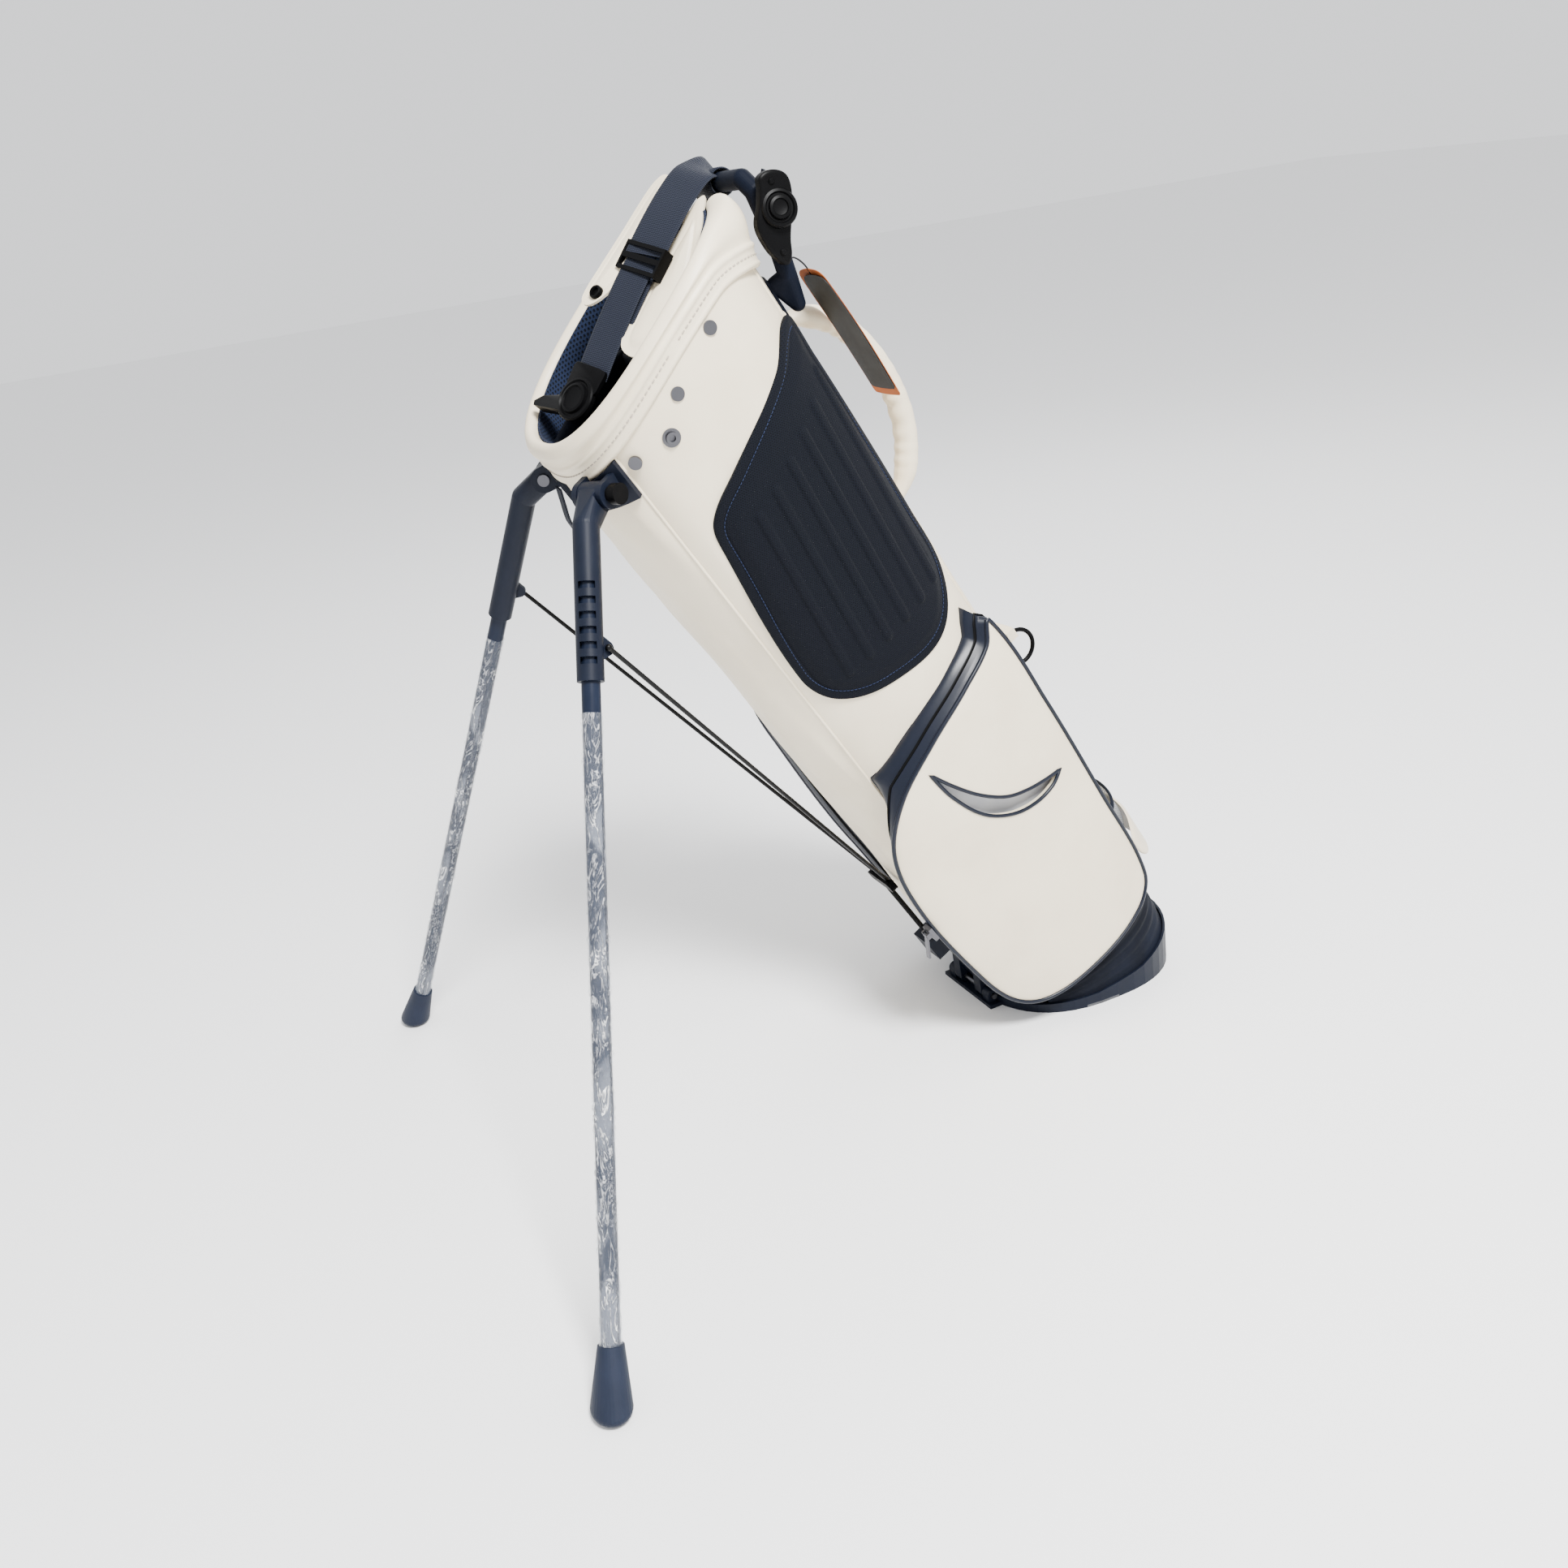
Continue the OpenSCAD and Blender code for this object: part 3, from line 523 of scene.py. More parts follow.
class Value:
    """A shader socket that takes part in arithmetic; each operator adds a Math node."""

    def __init__(self, graph: "Graph", socket: bpy.types.NodeSocket) -> None:
        """Hold a socket of a graph."""
        self.graph = graph
        self.socket = socket

    def _math(self, operation: str, *values: "Value | float") -> "Value":
        node = self.graph.node("ShaderNodeMath", {"operation": operation}, dict(enumerate(values)))
        return Value(self.graph, node.outputs[0])

    def __add__(self, other: "Value | float") -> "Value":
        """Sum."""
        return self._math("ADD", self, other)

    __radd__ = __add__

    def __sub__(self, other: "Value | float") -> "Value":
        """Difference."""
        return self._math("SUBTRACT", self, other)

    def __rsub__(self, other: float) -> "Value":
        """Difference from a number."""
        return self._math("SUBTRACT", other, self)

    def __mul__(self, other: "Value | float") -> "Value":
        """Product."""
        return self._math("MULTIPLY", self, other)

    __rmul__ = __mul__

    def __truediv__(self, other: "Value | float") -> "Value":
        """Quotient."""
        return self._math("DIVIDE", self, other)

    def __pow__(self, other: float) -> "Value":
        """Power."""
        return self._math("POWER", self, other)

    def sine(self) -> "Value":
        """Sine."""
        return self._math("SINE", self)

    def size(self) -> "Value":
        """Absolute value."""
        return self._math("ABSOLUTE", self)

    def fraction(self) -> "Value":
        """Fractional part."""
        return self._math("FRACT", self)

    def ramp(self, low: float, high: float) -> "Value":
        """Rise from 0 at low to 1 at high, eased at both ends."""
        node = self.graph.node(
            "ShaderNodeMapRange", {"interpolation_type": "SMOOTHSTEP"},
            {"Value": self, "From Min": low, "From Max": high},
        )
        return Value(self.graph, node.outputs[0])


class Graph:
    """The node graph of one material."""

    def __init__(self, name: str) -> None:
        """Start an empty material."""
        self.material = bpy.data.materials.new(name)
        self.material.use_nodes = True
        self.tree = self.material.node_tree
        self.tree.nodes.clear()

    def node(self, kind: str, settings: dict[str, object], inputs: dict[object, object]) -> bpy.types.Node:
        """Add a node.

        Args:
            kind: Node type.
            settings: Properties set before its sockets.
            inputs: Socket name or index to a number, a colour, a Value or a socket.

        Returns:
            The node.
        """
        node = self.tree.nodes.new(kind)
        for key, value in settings.items():
            setattr(node, key, value)
        for key, value in inputs.items():
            socket = node.inputs[key]
            if isinstance(value, Value):
                self.tree.links.new(value.socket, socket)
            elif isinstance(value, bpy.types.NodeSocket):
                self.tree.links.new(value, socket)
            else:
                socket.default_value = value
        return node

    def place(self) -> bpy.types.NodeSocket:
        """Position on the object, in metres."""
        return self.node("ShaderNodeTexCoord", {}, {}).outputs["Object"]

    def flat(self) -> tuple[Value, Value]:
        """Distances along and across a piece, in metres."""
        uv = self.node("ShaderNodeUVMap", {"uv_map": "flat"}, {})
        split = self.node("ShaderNodeSeparateXYZ", {}, {0: uv.outputs[0]})
        return Value(self, split.outputs[0]), Value(self, split.outputs[1])

    def noise(self, scale: float, detail: float = 3.0, rough: float = 0.5,
              warp: float = 0.0, stretch: float = 0.0) -> Value:
        """Noise over the object's position, or over its flat coordinates when it is stretched along the piece.

        Args:
            scale: Waves in a metre.
            detail: Number of finer layers.
            rough: Strength of the finer layers.
            warp: How far the pattern is distorted.
            stretch: Rate of the pattern along the piece over its rate across it; 0 uses the position.
        """
        if stretch:
            along, across = self.flat()
            vector = self.node("ShaderNodeCombineXYZ", {}, {0: along * stretch, 1: across}).outputs[0]
        else:
            vector = self.place()
        node = self.node(
            "ShaderNodeTexNoise", {}, {"Vector": vector, "Scale": scale, "Detail": detail,
                                       "Roughness": rough, "Distortion": warp},
        )
        return Value(self, node.outputs[0])

    def cells(self, scale: float, feature: str = "F1") -> Value:
        """Distance in a cell pattern over the object's position."""
        node = self.node("ShaderNodeTexVoronoi", {"feature": feature}, {"Vector": self.place(),
                                                                        "Scale": scale})
        return Value(self, node.outputs["Distance"])

    def mix(self, share: Value, a: Colour, b: Colour) -> bpy.types.NodeSocket:
        """Mix two colours by a value."""
        node = self.node(
            "ShaderNodeMix", {"data_type": "RGBA"}, {0: share, 6: (*a, 1.0), 7: (*b, 1.0)}
        )
        return node.outputs[2]

    def bump(self, height: Value, distance: float, strength: float = 1.0) -> bpy.types.NodeSocket:
        """Normal of a height given as a share of a distance in metres."""
        node = self.node("ShaderNodeBump", {}, {"Height": height, "Distance": distance, "Strength": strength})
        return node.outputs[0]

    def finish(self, inputs: dict[str, object]) -> bpy.types.Material:
        """Close the graph with the main shader and its inputs."""
        shader = self.node("ShaderNodeBsdfPrincipled", {}, inputs)
        self.node("ShaderNodeOutputMaterial", {}, {0: shader.outputs[0]})
        return self.material


# --------------------------------------------------------------------------- finishes


@dataclass(frozen=True)
class Leather:
    """Synthetic leather with a fine pebble grain and faint creases."""

    name: str
    colour: Colour
    shade: Colour
    roughness: float = 0.46
    grain: float = 1500.0
    depth: float = 0.00005

    def make(self) -> bpy.types.Material:
        """Build the material."""
        g = Graph(self.name)
        mottle = g.noise(9.0, 4.0, 0.6).ramp(0.35, 0.7)
        pebble = g.cells(self.grain)
        crease = g.noise(60.0, 5.0, 0.6, 0.6)
        height = pebble * 0.5 + crease * 1.3
        return g.finish({
            "Base Color": g.mix(mottle, self.colour, self.shade),
            "Roughness": g.noise(40.0) * 0.12 + self.roughness - 0.06,
            "Specular IOR Level": 0.45,
            "Coat Weight": 0.08,
            "Coat Roughness": 0.35,
            "Normal": g.bump(height, self.depth),
        })


@dataclass(frozen=True)
class Webbing:
    """Woven strap with ribs across it and a herringbone along it."""

    name: str
    colour: Colour
    thread: Colour
    pitch: float = 0.0016

    def make(self) -> bpy.types.Material:
        """Build the material."""
        g = Graph(self.name)
        along, across = g.flat()
        twist = (across * (2 * math.pi / (self.pitch * 3))).sine() * 0.7
        rib = ((along * (2 * math.pi / self.pitch)) + twist).sine() * 0.5 + 0.5
        cross = (across * (2 * math.pi / (self.pitch * 1.5))).sine() * 0.5 + 0.5
        weave = rib * 0.7 + cross * 0.3
        return g.finish({
            "Base Color": g.mix(weave, self.colour, self.thread),
            "Roughness": 0.62,
            "Sheen Weight": 0.05,
            "Sheen Roughness": 0.4,
            "Specular IOR Level": 0.1,
            "Normal": g.bump(weave, 0.00035),
        })


@dataclass(frozen=True)
class SpacerMesh:
    """Knitted spacer mesh with rows of small dimples, painted darker inside as shade."""

    name: str
    colour: Colour
    dimple_shade: Colour
    pitch: float = 0.0042
    depth: float = 0.0008
    roughness: float = 0.72

    def make(self) -> bpy.types.Material:
        """Build the material."""
        g = Graph(self.name)
        along, across = g.flat()
        row = across / (self.pitch * 0.866)
        shift = (row * 0.5).fraction().ramp(0.499, 0.501) * 0.5
        u = (along / self.pitch + shift).fraction() - 0.5
        v = row.fraction() - 0.5
        away = (u * u + v * v) ** 0.5
        dimple = 1 - away.ramp(0.16, 0.38)
        fuzz = g.noise(2600.0, 2.0)
        return g.finish({
            # painted shade: the dimples take the darker colour, standing in for shade in the hollows
            "Base Color": g.mix(dimple, self.colour, self.dimple_shade),
            "Roughness": self.roughness,
            "Sheen Weight": 0.02,
            "Sheen Roughness": 0.5,
            "Specular IOR Level": 0.08,
            "Normal": g.bump(1 - dimple + fuzz * 0.3, self.depth),
        })


@dataclass(frozen=True)
class Cloth:
    """Plain coated cloth with a fine weave."""

    name: str
    colour: Colour
    shade: Colour
    roughness: float = 0.55
    weave: float = 1900.0
    depth: float = 0.00012
    coat: float = 0.0

    def make(self) -> bpy.types.Material:
        """Build the material."""
        g = Graph(self.name)
        yarn = g.noise(self.weave, 2.0)
        patch = g.noise(14.0, 4.0)
        return g.finish({
            "Base Color": g.mix(patch.ramp(0.3, 0.7), self.colour, self.shade),
            "Roughness": self.roughness,
            "Coat Weight": self.coat,
            "Coat Roughness": 0.25,
            "Specular IOR Level": 0.12,
            "Normal": g.bump(yarn + g.noise(45.0, 4.0) * 3.0, self.depth),
        })


@dataclass(frozen=True)
class Moulded:
    """Moulded plastic or rubber with a fine matte texture."""

    name: str
    colour: Colour
    roughness: float = 0.42
    grain: float = 2200.0
    depth: float = 0.00003
    speck: float = 0.25
    shine: float = 0.13

    def make(self) -> bpy.types.Material:
        """Build the material."""
        g = Graph(self.name)
        lighter = tuple(c * (1 + self.speck) + 0.0004 for c in self.colour)
        wear = g.noise(30.0, 5.0, 0.65).ramp(0.35, 0.75)
        return g.finish({
            "Base Color": g.mix(wear, self.colour, lighter),
            "Roughness": wear * 0.1 + self.roughness,
            "Specular IOR Level": self.shine,
            "Normal": g.bump(g.noise(self.grain, 2.0), self.depth),
        })


@dataclass(frozen=True)
class Plated:
    """Plated metal with faint brushing."""

    name: str
    colour: Colour
    roughness: float = 0.3

    def make(self) -> bpy.types.Material:
        """Build the material."""
        g = Graph(self.name)
        brush = g.noise(900.0, 3.0)
        return g.finish({
            "Base Color": (*self.colour, 1.0),
            "Metallic": 1.0,
            "Roughness": brush * 0.12 + self.roughness,
            "Normal": g.bump(brush, 0.00001),
        })


@dataclass(frozen=True)
class CrinkledFilm:
    """Clear packing film drawn tight into creases, with highlights painted white along them."""

    name: str = "clear_film"
    base: float = 0.07

    def make(self) -> bpy.types.Material:
        """Build the material."""
        g = Graph(self.name)
        along = g.noise(62.0, 4.0, 0.62, 1.6, stretch=0.3)
        across = g.noise(150.0, 3.0, 0.6, 1.0, stretch=0.45)
        ridge = 1 - (along - 0.5).size().ramp(0.0, 0.03)
        fine = 1 - (across - 0.5).size().ramp(0.0, 0.03)
        patch = g.noise(34.0, 2.0, 0.5, 0.6, stretch=0.5).ramp(0.5, 0.62)
        # painted highlights: crease and patch mark where the film is painted white and opaque, standing in for
        # reflections on the creases
        crease = ridge * 0.7 + fine * 0.3 + patch * ridge * 0.5
        return g.finish({
            # painted highlight: the creases mix from the grey-blue tint to white
            "Base Color": g.mix(crease, (0.55, 0.60, 0.70), (1.0, 1.0, 1.0)),
            "Roughness": 0.12,
            "Specular IOR Level": 0.8,
            "Alpha": crease * 0.62 + patch * 0.16 + self.base,
            "Normal": g.bump(crease + along * 0.8, 0.0014),
        })


@dataclass(frozen=True)
class OpenMesh:
    """Coarse open mesh of a pouch."""

    name: str
    colour: Colour
    pitch: float = 0.0035

    def make(self) -> bpy.types.Material:
        """Build the material."""
        g = Graph(self.name)
        along, across = g.flat()
        u = ((along + across) / self.pitch).fraction() - 0.5
        v = ((along - across) / self.pitch).fraction() - 0.5
        yarn = u.size().ramp(0.26, 0.36) + v.size().ramp(0.26, 0.36)
        return g.finish({
            "Base Color": (*self.colour, 1.0),
            "Roughness": 0.6,
            "Alpha": yarn.ramp(0.0, 0.6) * 0.8 + 0.2,
            "Normal": g.bump(yarn, 0.0004),
        })


class Finish(Enum):
    """The bag's finishes and the record slot each belongs to."""

    IVORY = ("white_leather", Leather("ivory_leather", IVORY, (0.68, 0.59, 0.435)))
    NAVY_GLOSS = ("navy_fabric", Cloth("navy_gloss_cloth", NAVY, NAVY_PLASTIC, 0.36, depth=0.00007,
                                       coat=0.22))
    NAVY_CLOTH = ("navy_fabric", Cloth("navy_cloth", NAVY_DARK, NAVY, 0.72))
    NAVY_WEBBING = ("navy_fabric", Webbing("navy_webbing", (0.004, 0.005, 0.009), (0.015, 0.018, 0.029)))
    # the second colour of each spacer mesh is painted shade in its dimples
    LINING_MESH = ("navy_mesh", SpacerMesh("lining_mesh", (0.010, 0.016, 0.038), (0.002, 0.003, 0.006)))
    PAD_MESH = ("navy_mesh", SpacerMesh("pad_mesh", (0.0026, 0.0035, 0.0064), (0.0012, 0.0015, 0.0026),
                                        0.0021, 0.0003, 0.8))
    NAVY_PLASTIC = ("navy_plastic", Moulded("navy_plastic", NAVY_PLASTIC, 0.4))
    # a darker copy of the navy plastic with less shine: painted shade on the top handle
    HANDLE_PLASTIC = ("navy_plastic", Moulded("shaded_handle_plastic", (0.003, 0.0043, 0.009), 0.5, shine=0.05))
    NAVY_TUBE = ("navy_tube", Moulded("navy_tube", (0.006, 0.009, 0.019), 0.28, depth=0.00001))
    BLACK_PLASTIC = ("black_plastic", Moulded("black_plastic", BLACK, 0.36, shine=0.06))
    BLACK_WIRE = ("dark_wire", Moulded("black_wire", BLACK, 0.3))
    NAVY_RUBBER = ("navy_rubber", Moulded("navy_rubber", (0.010, 0.0135, 0.025), 0.5, depth=0.00006))
    SOLE_RUBBER = ("sole_rubber", Moulded("sole_rubber", (0.055, 0.056, 0.060), 0.85, 700.0, 0.0009, 0.9))
    GUNMETAL = ("gunmetal", Plated("gunmetal", (0.10, 0.10, 0.11)))
    GLASS_FIBRE = ("fibre_rod", Moulded("glass_fibre", (0.4, 0.4, 0.38), 0.45))
    FILM = ("clear_film", CrinkledFilm())
    POUCH_MESH = ("pouch_mesh", OpenMesh("pouch_mesh", (0.30, 0.31, 0.32)))
    SLIT_LINING = ("white_leather", Cloth("slit_lining", GREY_LINING, (0.42, 0.44, 0.5), 0.6))
    KRAFT = ("card", Moulded("kraft_card", (0.34, 0.095, 0.028), 0.6, 900.0))
    BLACK_CARD = ("card", Moulded("black_card", (0.014, 0.014, 0.015), 0.5, 900.0))
    THREAD = ("white_leather", Moulded("ivory_thread", (0.34, 0.30, 0.25), 0.8))
    NAVY_THREAD = ("navy_fabric", Moulded("navy_thread", (0.018, 0.024, 0.05), 0.7, shine=0.05))


_made: dict[Finish, bpy.types.Material] = {}


def material(finish: Finish) -> bpy.types.Material:
    """The material of a finish, made once."""
    if finish not in _made:
        _made[finish] = finish.value[1].make()
    return _made[finish]


def dress(obj: bpy.types.Object, finish: Finish, body: str = BODY,
          stands_for: Sequence[str] = ()) -> bpy.types.Object:
    """Give a new piece its finish, its body and the frame nodes it stands for."""
    obj.data.materials.clear()
    obj.data.materials.append(material(finish))
    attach(obj, body)
    if stands_for:
        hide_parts(*stands_for)
    log.info("%s: %d faces on %s", obj.name, len(obj.data.polygons), body)
    return obj


# --------------------------------------------------------------------------- sub-assemblies


@dataclass
class BodySkins:
    """The four leather skins with slack between their seams, and the piping in the seams."""

    low: float = 62.0
    thickness: float = 2.0
    slack: float = 1.6
    piping: float = 1.5

    def skin(self, name: str, node: str, start: float, stop: float, fold: float, seed: int) -> None:
        """Build one skin.

        Args:
            name: Name of the piece.
            node: Frame node it stands for.
            start: First angle round the section.
            stop: Last angle.
            fold: Height of its long folds.
            seed: Picks the pattern of its folds.
        """
        columns, rows = int((stop - start) / 1.5) + 1, 110
        t = np.linspace(start, stop, columns)
        share = np.linspace(0, 1, columns)
        top = SECTION.cuff_low(SECTION.depth_at(t)) + 3
        z = self.low + np.linspace(0, 1, rows)[:, None] * (top - self.low)[None]
        hold = np.clip(np.minimum(share, 1 - share) * 9, 0, 1)[None] ** 0.7
        ends = smooth_step(z, self.low, self.low + 60) * (1 - smooth_step(z, top - 40, top))
        arc = share[None] * (stop - start) * 2.0
        waves = ripple(arc, z * 0.32, seed) * fold + ripple(arc * 2, z * 0.8, seed + 9) * fold * 0.25
        off = -(self.slack * hold + waves * hold * (0.35 + 0.65 * ends))
        outer = SECTION.at(t[None], np.minimum(off, 0.9), z)
        inner = SECTION.at(t[None], self.thickness, z)
        parts = MeshParts()
        loop = np.concatenate([outer, inner[:, ::-1]], 1)
        parts.add_grid(loop, wrap_columns=True, caps=False)
        dress(parts.make(name), Finish.IVORY, stands_for=[node])

    def build(self) -> None:
        """Build the skins and the piping."""
        self.skin("front_skin", "front_panel", 225, 315, 2.9, 3)
        self.skin("left_skin", "left_panel", -45, 60, 1.0, 5)
        self.skin("spine_skin", "spine_panel", 60, 120, 0.5, 7)
        self.skin("right_skin", "right_panel", 120, 225, 0.7, 8)
        parts = MeshParts()
        for t in (-45.0, 60.0, 120.0, 225.0):
            top = float(SECTION.cuff_low(SECTION.depth_at(np.array(t)))) + 2
            z = np.linspace(self.low, top, 60)
            parts.add_tube(SECTION.at(t, -0.3, z), self.piping, 8, up=(1, 0, 0))
        dress(parts.make("seam_piping"), Finish.IVORY)


@dataclass
class Cuff:
    """The padded cuff: a thick roll over a stitched flap, and the mesh lining inside it."""

    inside: float = 7.0
    lining_low: float = 690.0
    segments: int = 216

    def face(self, t: Array, z: Array, out: float) -> Array:
        """Points on the flap or the roll, a distance outside the skin at angle t and height z."""
        return SECTION.at(t, -out - SECTION.cuff_swell(t) * smooth_step(z, 770, 850), z)

    def profile(self, t: Array, low: Array, high: Array) -> list[Array]:
        """Rows of points round the cuff's closed section, from the flap's edge over the roll to the inside."""
        rows = [SECTION.at(t, 1.6, low + 1)]
        for out, up in ((1.8, 0.0), (4.0, 0.4), (5.4, 2.0), (5.6, 3.6), (4.5, 5.2), (4.4, 8.0), (4.5, 12.0),
                        (4.6, 14.5), (5.8, 16.0), (6.7, 17.6), (6.4, 19.4), (4.9, 20.8), (4.6, 22.4)):
            rows.append(self.face(t, low + up, out))
        body = np.array([0.10, 0.25, 0.45, 0.65, 0.82])
        swell = np.array([5.6, 7.0, 8.0, 8.0, 7.0])
        start, end = low + 24, high - 5
        for share, out in zip(body, swell):
            rows.append(self.face(t, start + (end - start) * share, out))
        for out, down in ((5.2, 3.4), (2.6, 1.0), (-0.4, 0.0), (-3.4, 1.0), (-5.6, 3.6)):
            z = high - down
            rows.append(SECTION.at(t, -out - SECTION.cuff_swell(t) * np.clip((out + 6) / 12, 0, 1), z))
        for off, down in ((self.inside, 8.0), (self.inside, 16.0), (5.4, 19.0), (1.4, 16.0)):
            rows.append(SECTION.at(t, off, high - down))
        return rows

    def build(self) -> None:
        """Build the cuff, its row of stitches and the lining."""
        t = np.linspace(0, 360, self.segments, endpoint=False)
        y = SECTION.depth_at(t)
        low, high = SECTION.cuff_low(y), SECTION.cuff_high(y)
        parts = MeshParts()
        parts.add_grid(np.stack(self.profile(t, low, high)), wrap_rows=True, wrap_columns=True)
        cuff = parts.make("padded_cuff", 70)
        apply_modifier(cuff, "SUBSURF", levels=1, render_levels=1)
        dress(cuff, Finish.IVORY, stands_for=["cuff"])
        row = self.face(t, low + 10.5, 4.6)
        dress(stitches(row, self.face(t, low + 10.5, 9.6) - row, 5.4, 3.2, 0.6).make("cuff_flap_stitching"),
              Finish.THREAD)
        z = self.lining_low + np.linspace(0, 1, 26)[:, None] * (high - 6 - self.lining_low)[None]
        wave = 0.5 * ripple(t[None] * 2, z, 13)
        face = SECTION.at(t[None], self.inside + 2.6 + wave, z)
        back = SECTION.at(t[None], self.inside + 0.3, z)
        lining = MeshParts()
        lining.add_grid(np.concatenate([face, back[::-1]]), wrap_rows=True, wrap_columns=True)
        dress(lining.make("mouth_lining"), Finish.LINING_MESH, stands_for=["cuff_lining"])


@dataclass
class Dividers:
    """Padded divider bars across the mouth, each with its hanging cloth wall."""

    bar_x: float = 38.0
    width: float = 12.0
    height: float = 34.0
    drop: float = 24.0
    low: float = 22.0
    inset: float = 11.4

    def bar(self, path: Array, parts: MeshParts) -> None:
        """Add a rounded bar along a path of its middle points."""
        a = np.linspace(0, 2 * math.pi, 24, endpoint=False)
        _, side, _ = frames(path, (0, 0, 1))
        c, s = np.cos(a), np.sin(a)
        across = np.sign(c) * np.abs(c) ** 0.6 * self.width / 2
        along = np.sign(s) * np.abs(s) ** 0.5 * self.height / 2
        up = np.array([0.0, 0.0, 1.0])
        grid = path[:, None] + side[:, None] * across[None, :, None] + up * along[None, :, None]
        parts.add_grid(grid, wrap_columns=True, caps=True)

    def top(self, y: Array) -> Array:
        """Height of the bars' upper side at depth y."""
        return np.minimum(SECTION.cuff_high(y) - self.drop, 795.0)

    def long_bar(self, x: float, name: str, node: str) -> None:
        """Build a bar from front to rear with its wall."""
        share = (1 - (abs(x) / (SECTION.half_width - self.inset)) ** SECTION.corner) ** (1 / SECTION.corner)
        half = float(SECTION.half_depth(700) - self.inset) * share - 1
        y = float(SECTION.mid(700)) + np.linspace(-half, half, 30)
        middle = self.top(y) - self.height / 2
        parts = MeshParts()
        self.bar(np.stack([np.full(30, x), y, middle], -1), parts)
        self.wall(np.stack([np.full(30, x), y], -1), middle - self.height / 2 + 2, parts, x)
        obj = dress(parts.make(name, 60), Finish.NAVY_CLOTH, stands_for=[node])

    def wall(self, line: Array, top: Array, parts: MeshParts, seed: float) -> None:
        """Add a hanging cloth wall under a line in plan."""
        rows = 40
        share = np.linspace(0, 1, rows)[:, None]
        z = top[None] + share * (self.low - top[None])
        shrink = 1 - 0.06 * share
        centre = line.mean(0)
        plan = centre + (line - centre)[None] * shrink[..., None]
        normal = np.array([-(line[-1] - line[0])[1], (line[-1] - line[0])[0]])
        normal = normal / np.linalg.norm(normal)
        sway = 1.6 * ripple(plan[..., 0] + plan[..., 1], z * 0.6,
                            int(abs(seed)) + 21) * np.sin(share * math.pi)
        face = np.concatenate([plan + normal * (sway[..., None] + 0.7), z[..., None]], -1)
        back = np.concatenate([plan + normal * (sway[..., None] - 0.7), z[..., None]], -1)
        parts.add_grid(np.concatenate([face, back[:, ::-1]], 1), wrap_columns=True)

    def build(self) -> None:
        """Build both long bars and the cross bar."""
        self.long_bar(self.bar_x, "divider_bar_left", "divider_left")
        self.long_bar(-self.bar_x, "divider_bar_right", "divider_right")
        z = float(self.top(0.0)) - 2 - self.height / 2
        x = np.linspace(-self.bar_x + 6.2, self.bar_x - 6.2, 16)
        parts = MeshParts()
        self.bar(np.stack([x, np.zeros(16), np.full(16, z)], -1), parts)
        wide = np.linspace(-self.bar_x + 1.5, self.bar_x - 1.5, 16)
        self.wall(np.stack([wide, np.zeros(16)], -1), np.full(16, z - self.height / 2 + 2), parts, 4)
        obj = dress(parts.make("divider_bar_cross", 60), Finish.NAVY_CLOTH, stands_for=["divider_cross"])


@dataclass
class HipPad:
    """The quilted spacer pad on the left side, with its slanting channels and bound edge."""

    border: float = 9.0
    thick: float = 5.6
    outline: tuple[tuple[float, float], ...] = (
        (106, 749), (58, 729), (-22, 693), (-59, 671), (-68, 642), (-82, 496), (-68, 459), (-21, 437),
        (48, 435), (90, 476), (99, 536), (107, 635), (109, 706))
    tops: tuple[float, ...] = (649.0, 657.0, 667.0, 677.0, 687.0, 701.0, 715.0)
    foot: float = 477.0
    pitch: float = 22.5

    def beads(self, y: Array, z: Array, gap: Array) -> Array:
        """Share of the quilted beads' height; they lean back and end round at both ends."""
        total = np.zeros(np.broadcast(y, z).shape)
        for k, top in enumerate(self.tops):
            middle = -36 + self.pitch * k + 0.105 * (z - 560)
            end = np.clip(z - top, 0, None) + np.clip(self.foot + 0.9 * k - z, 0, None)
            away = np.hypot(y - middle, end)
            total = np.maximum(total,
                               np.exp(-((away / 4.4) ** 4)) - 0.45 * np.exp(-(((away - 6.0) / 1.5) ** 2)))
        return total * smooth_step(gap, self.border + 2, self.border + 7)

    def rise(self, y: Array, z: Array, gap: Array) -> Array:
        """Height of the pad over the skin."""
        edge = 2.6 * np.sqrt(np.clip(gap / 2.4, 0, 1))
        body = (self.thick - 3.4) * smooth_step(gap, self.border + 1, self.border + 12)
        seam = 1.1 * np.exp(-((gap - self.border) / 1.3) ** 2)
        return 2.6 + edge + body - seam + 2.0 * self.beads(y, z, gap)

    def build(self) -> None:
        """Build the pad and its row of stitches."""
        loop = hermite(self.outline, 420, closed=True)
        parts = MeshParts()
        Patch(loop, lambda y, z, h: SECTION.side(y, z, h), self.rise, rings=110, back=-0.2).build(parts)
        pad = dress(parts.make("hip_pad_quilted", 60), Finish.PAD_MESH, stands_for=["hip_pad"])
        centre = loop.mean(0)
        inner = centre + (loop - centre) * (1 - self.border / np.linalg.norm(loop - centre, axis=1)[:,
                                                                                                    None] * 1.05)
        row = SECTION.side(inner[:, 0], inner[:, 1], 4.7)
        out = SECTION.side(inner[:, 0], inner[:, 1], 8.0) - row
        dress(stitches(row, out, 3.6, 2.4, 0.4, closed=True).make("hip_pad_stitching"), Finish.NAVY_THREAD)


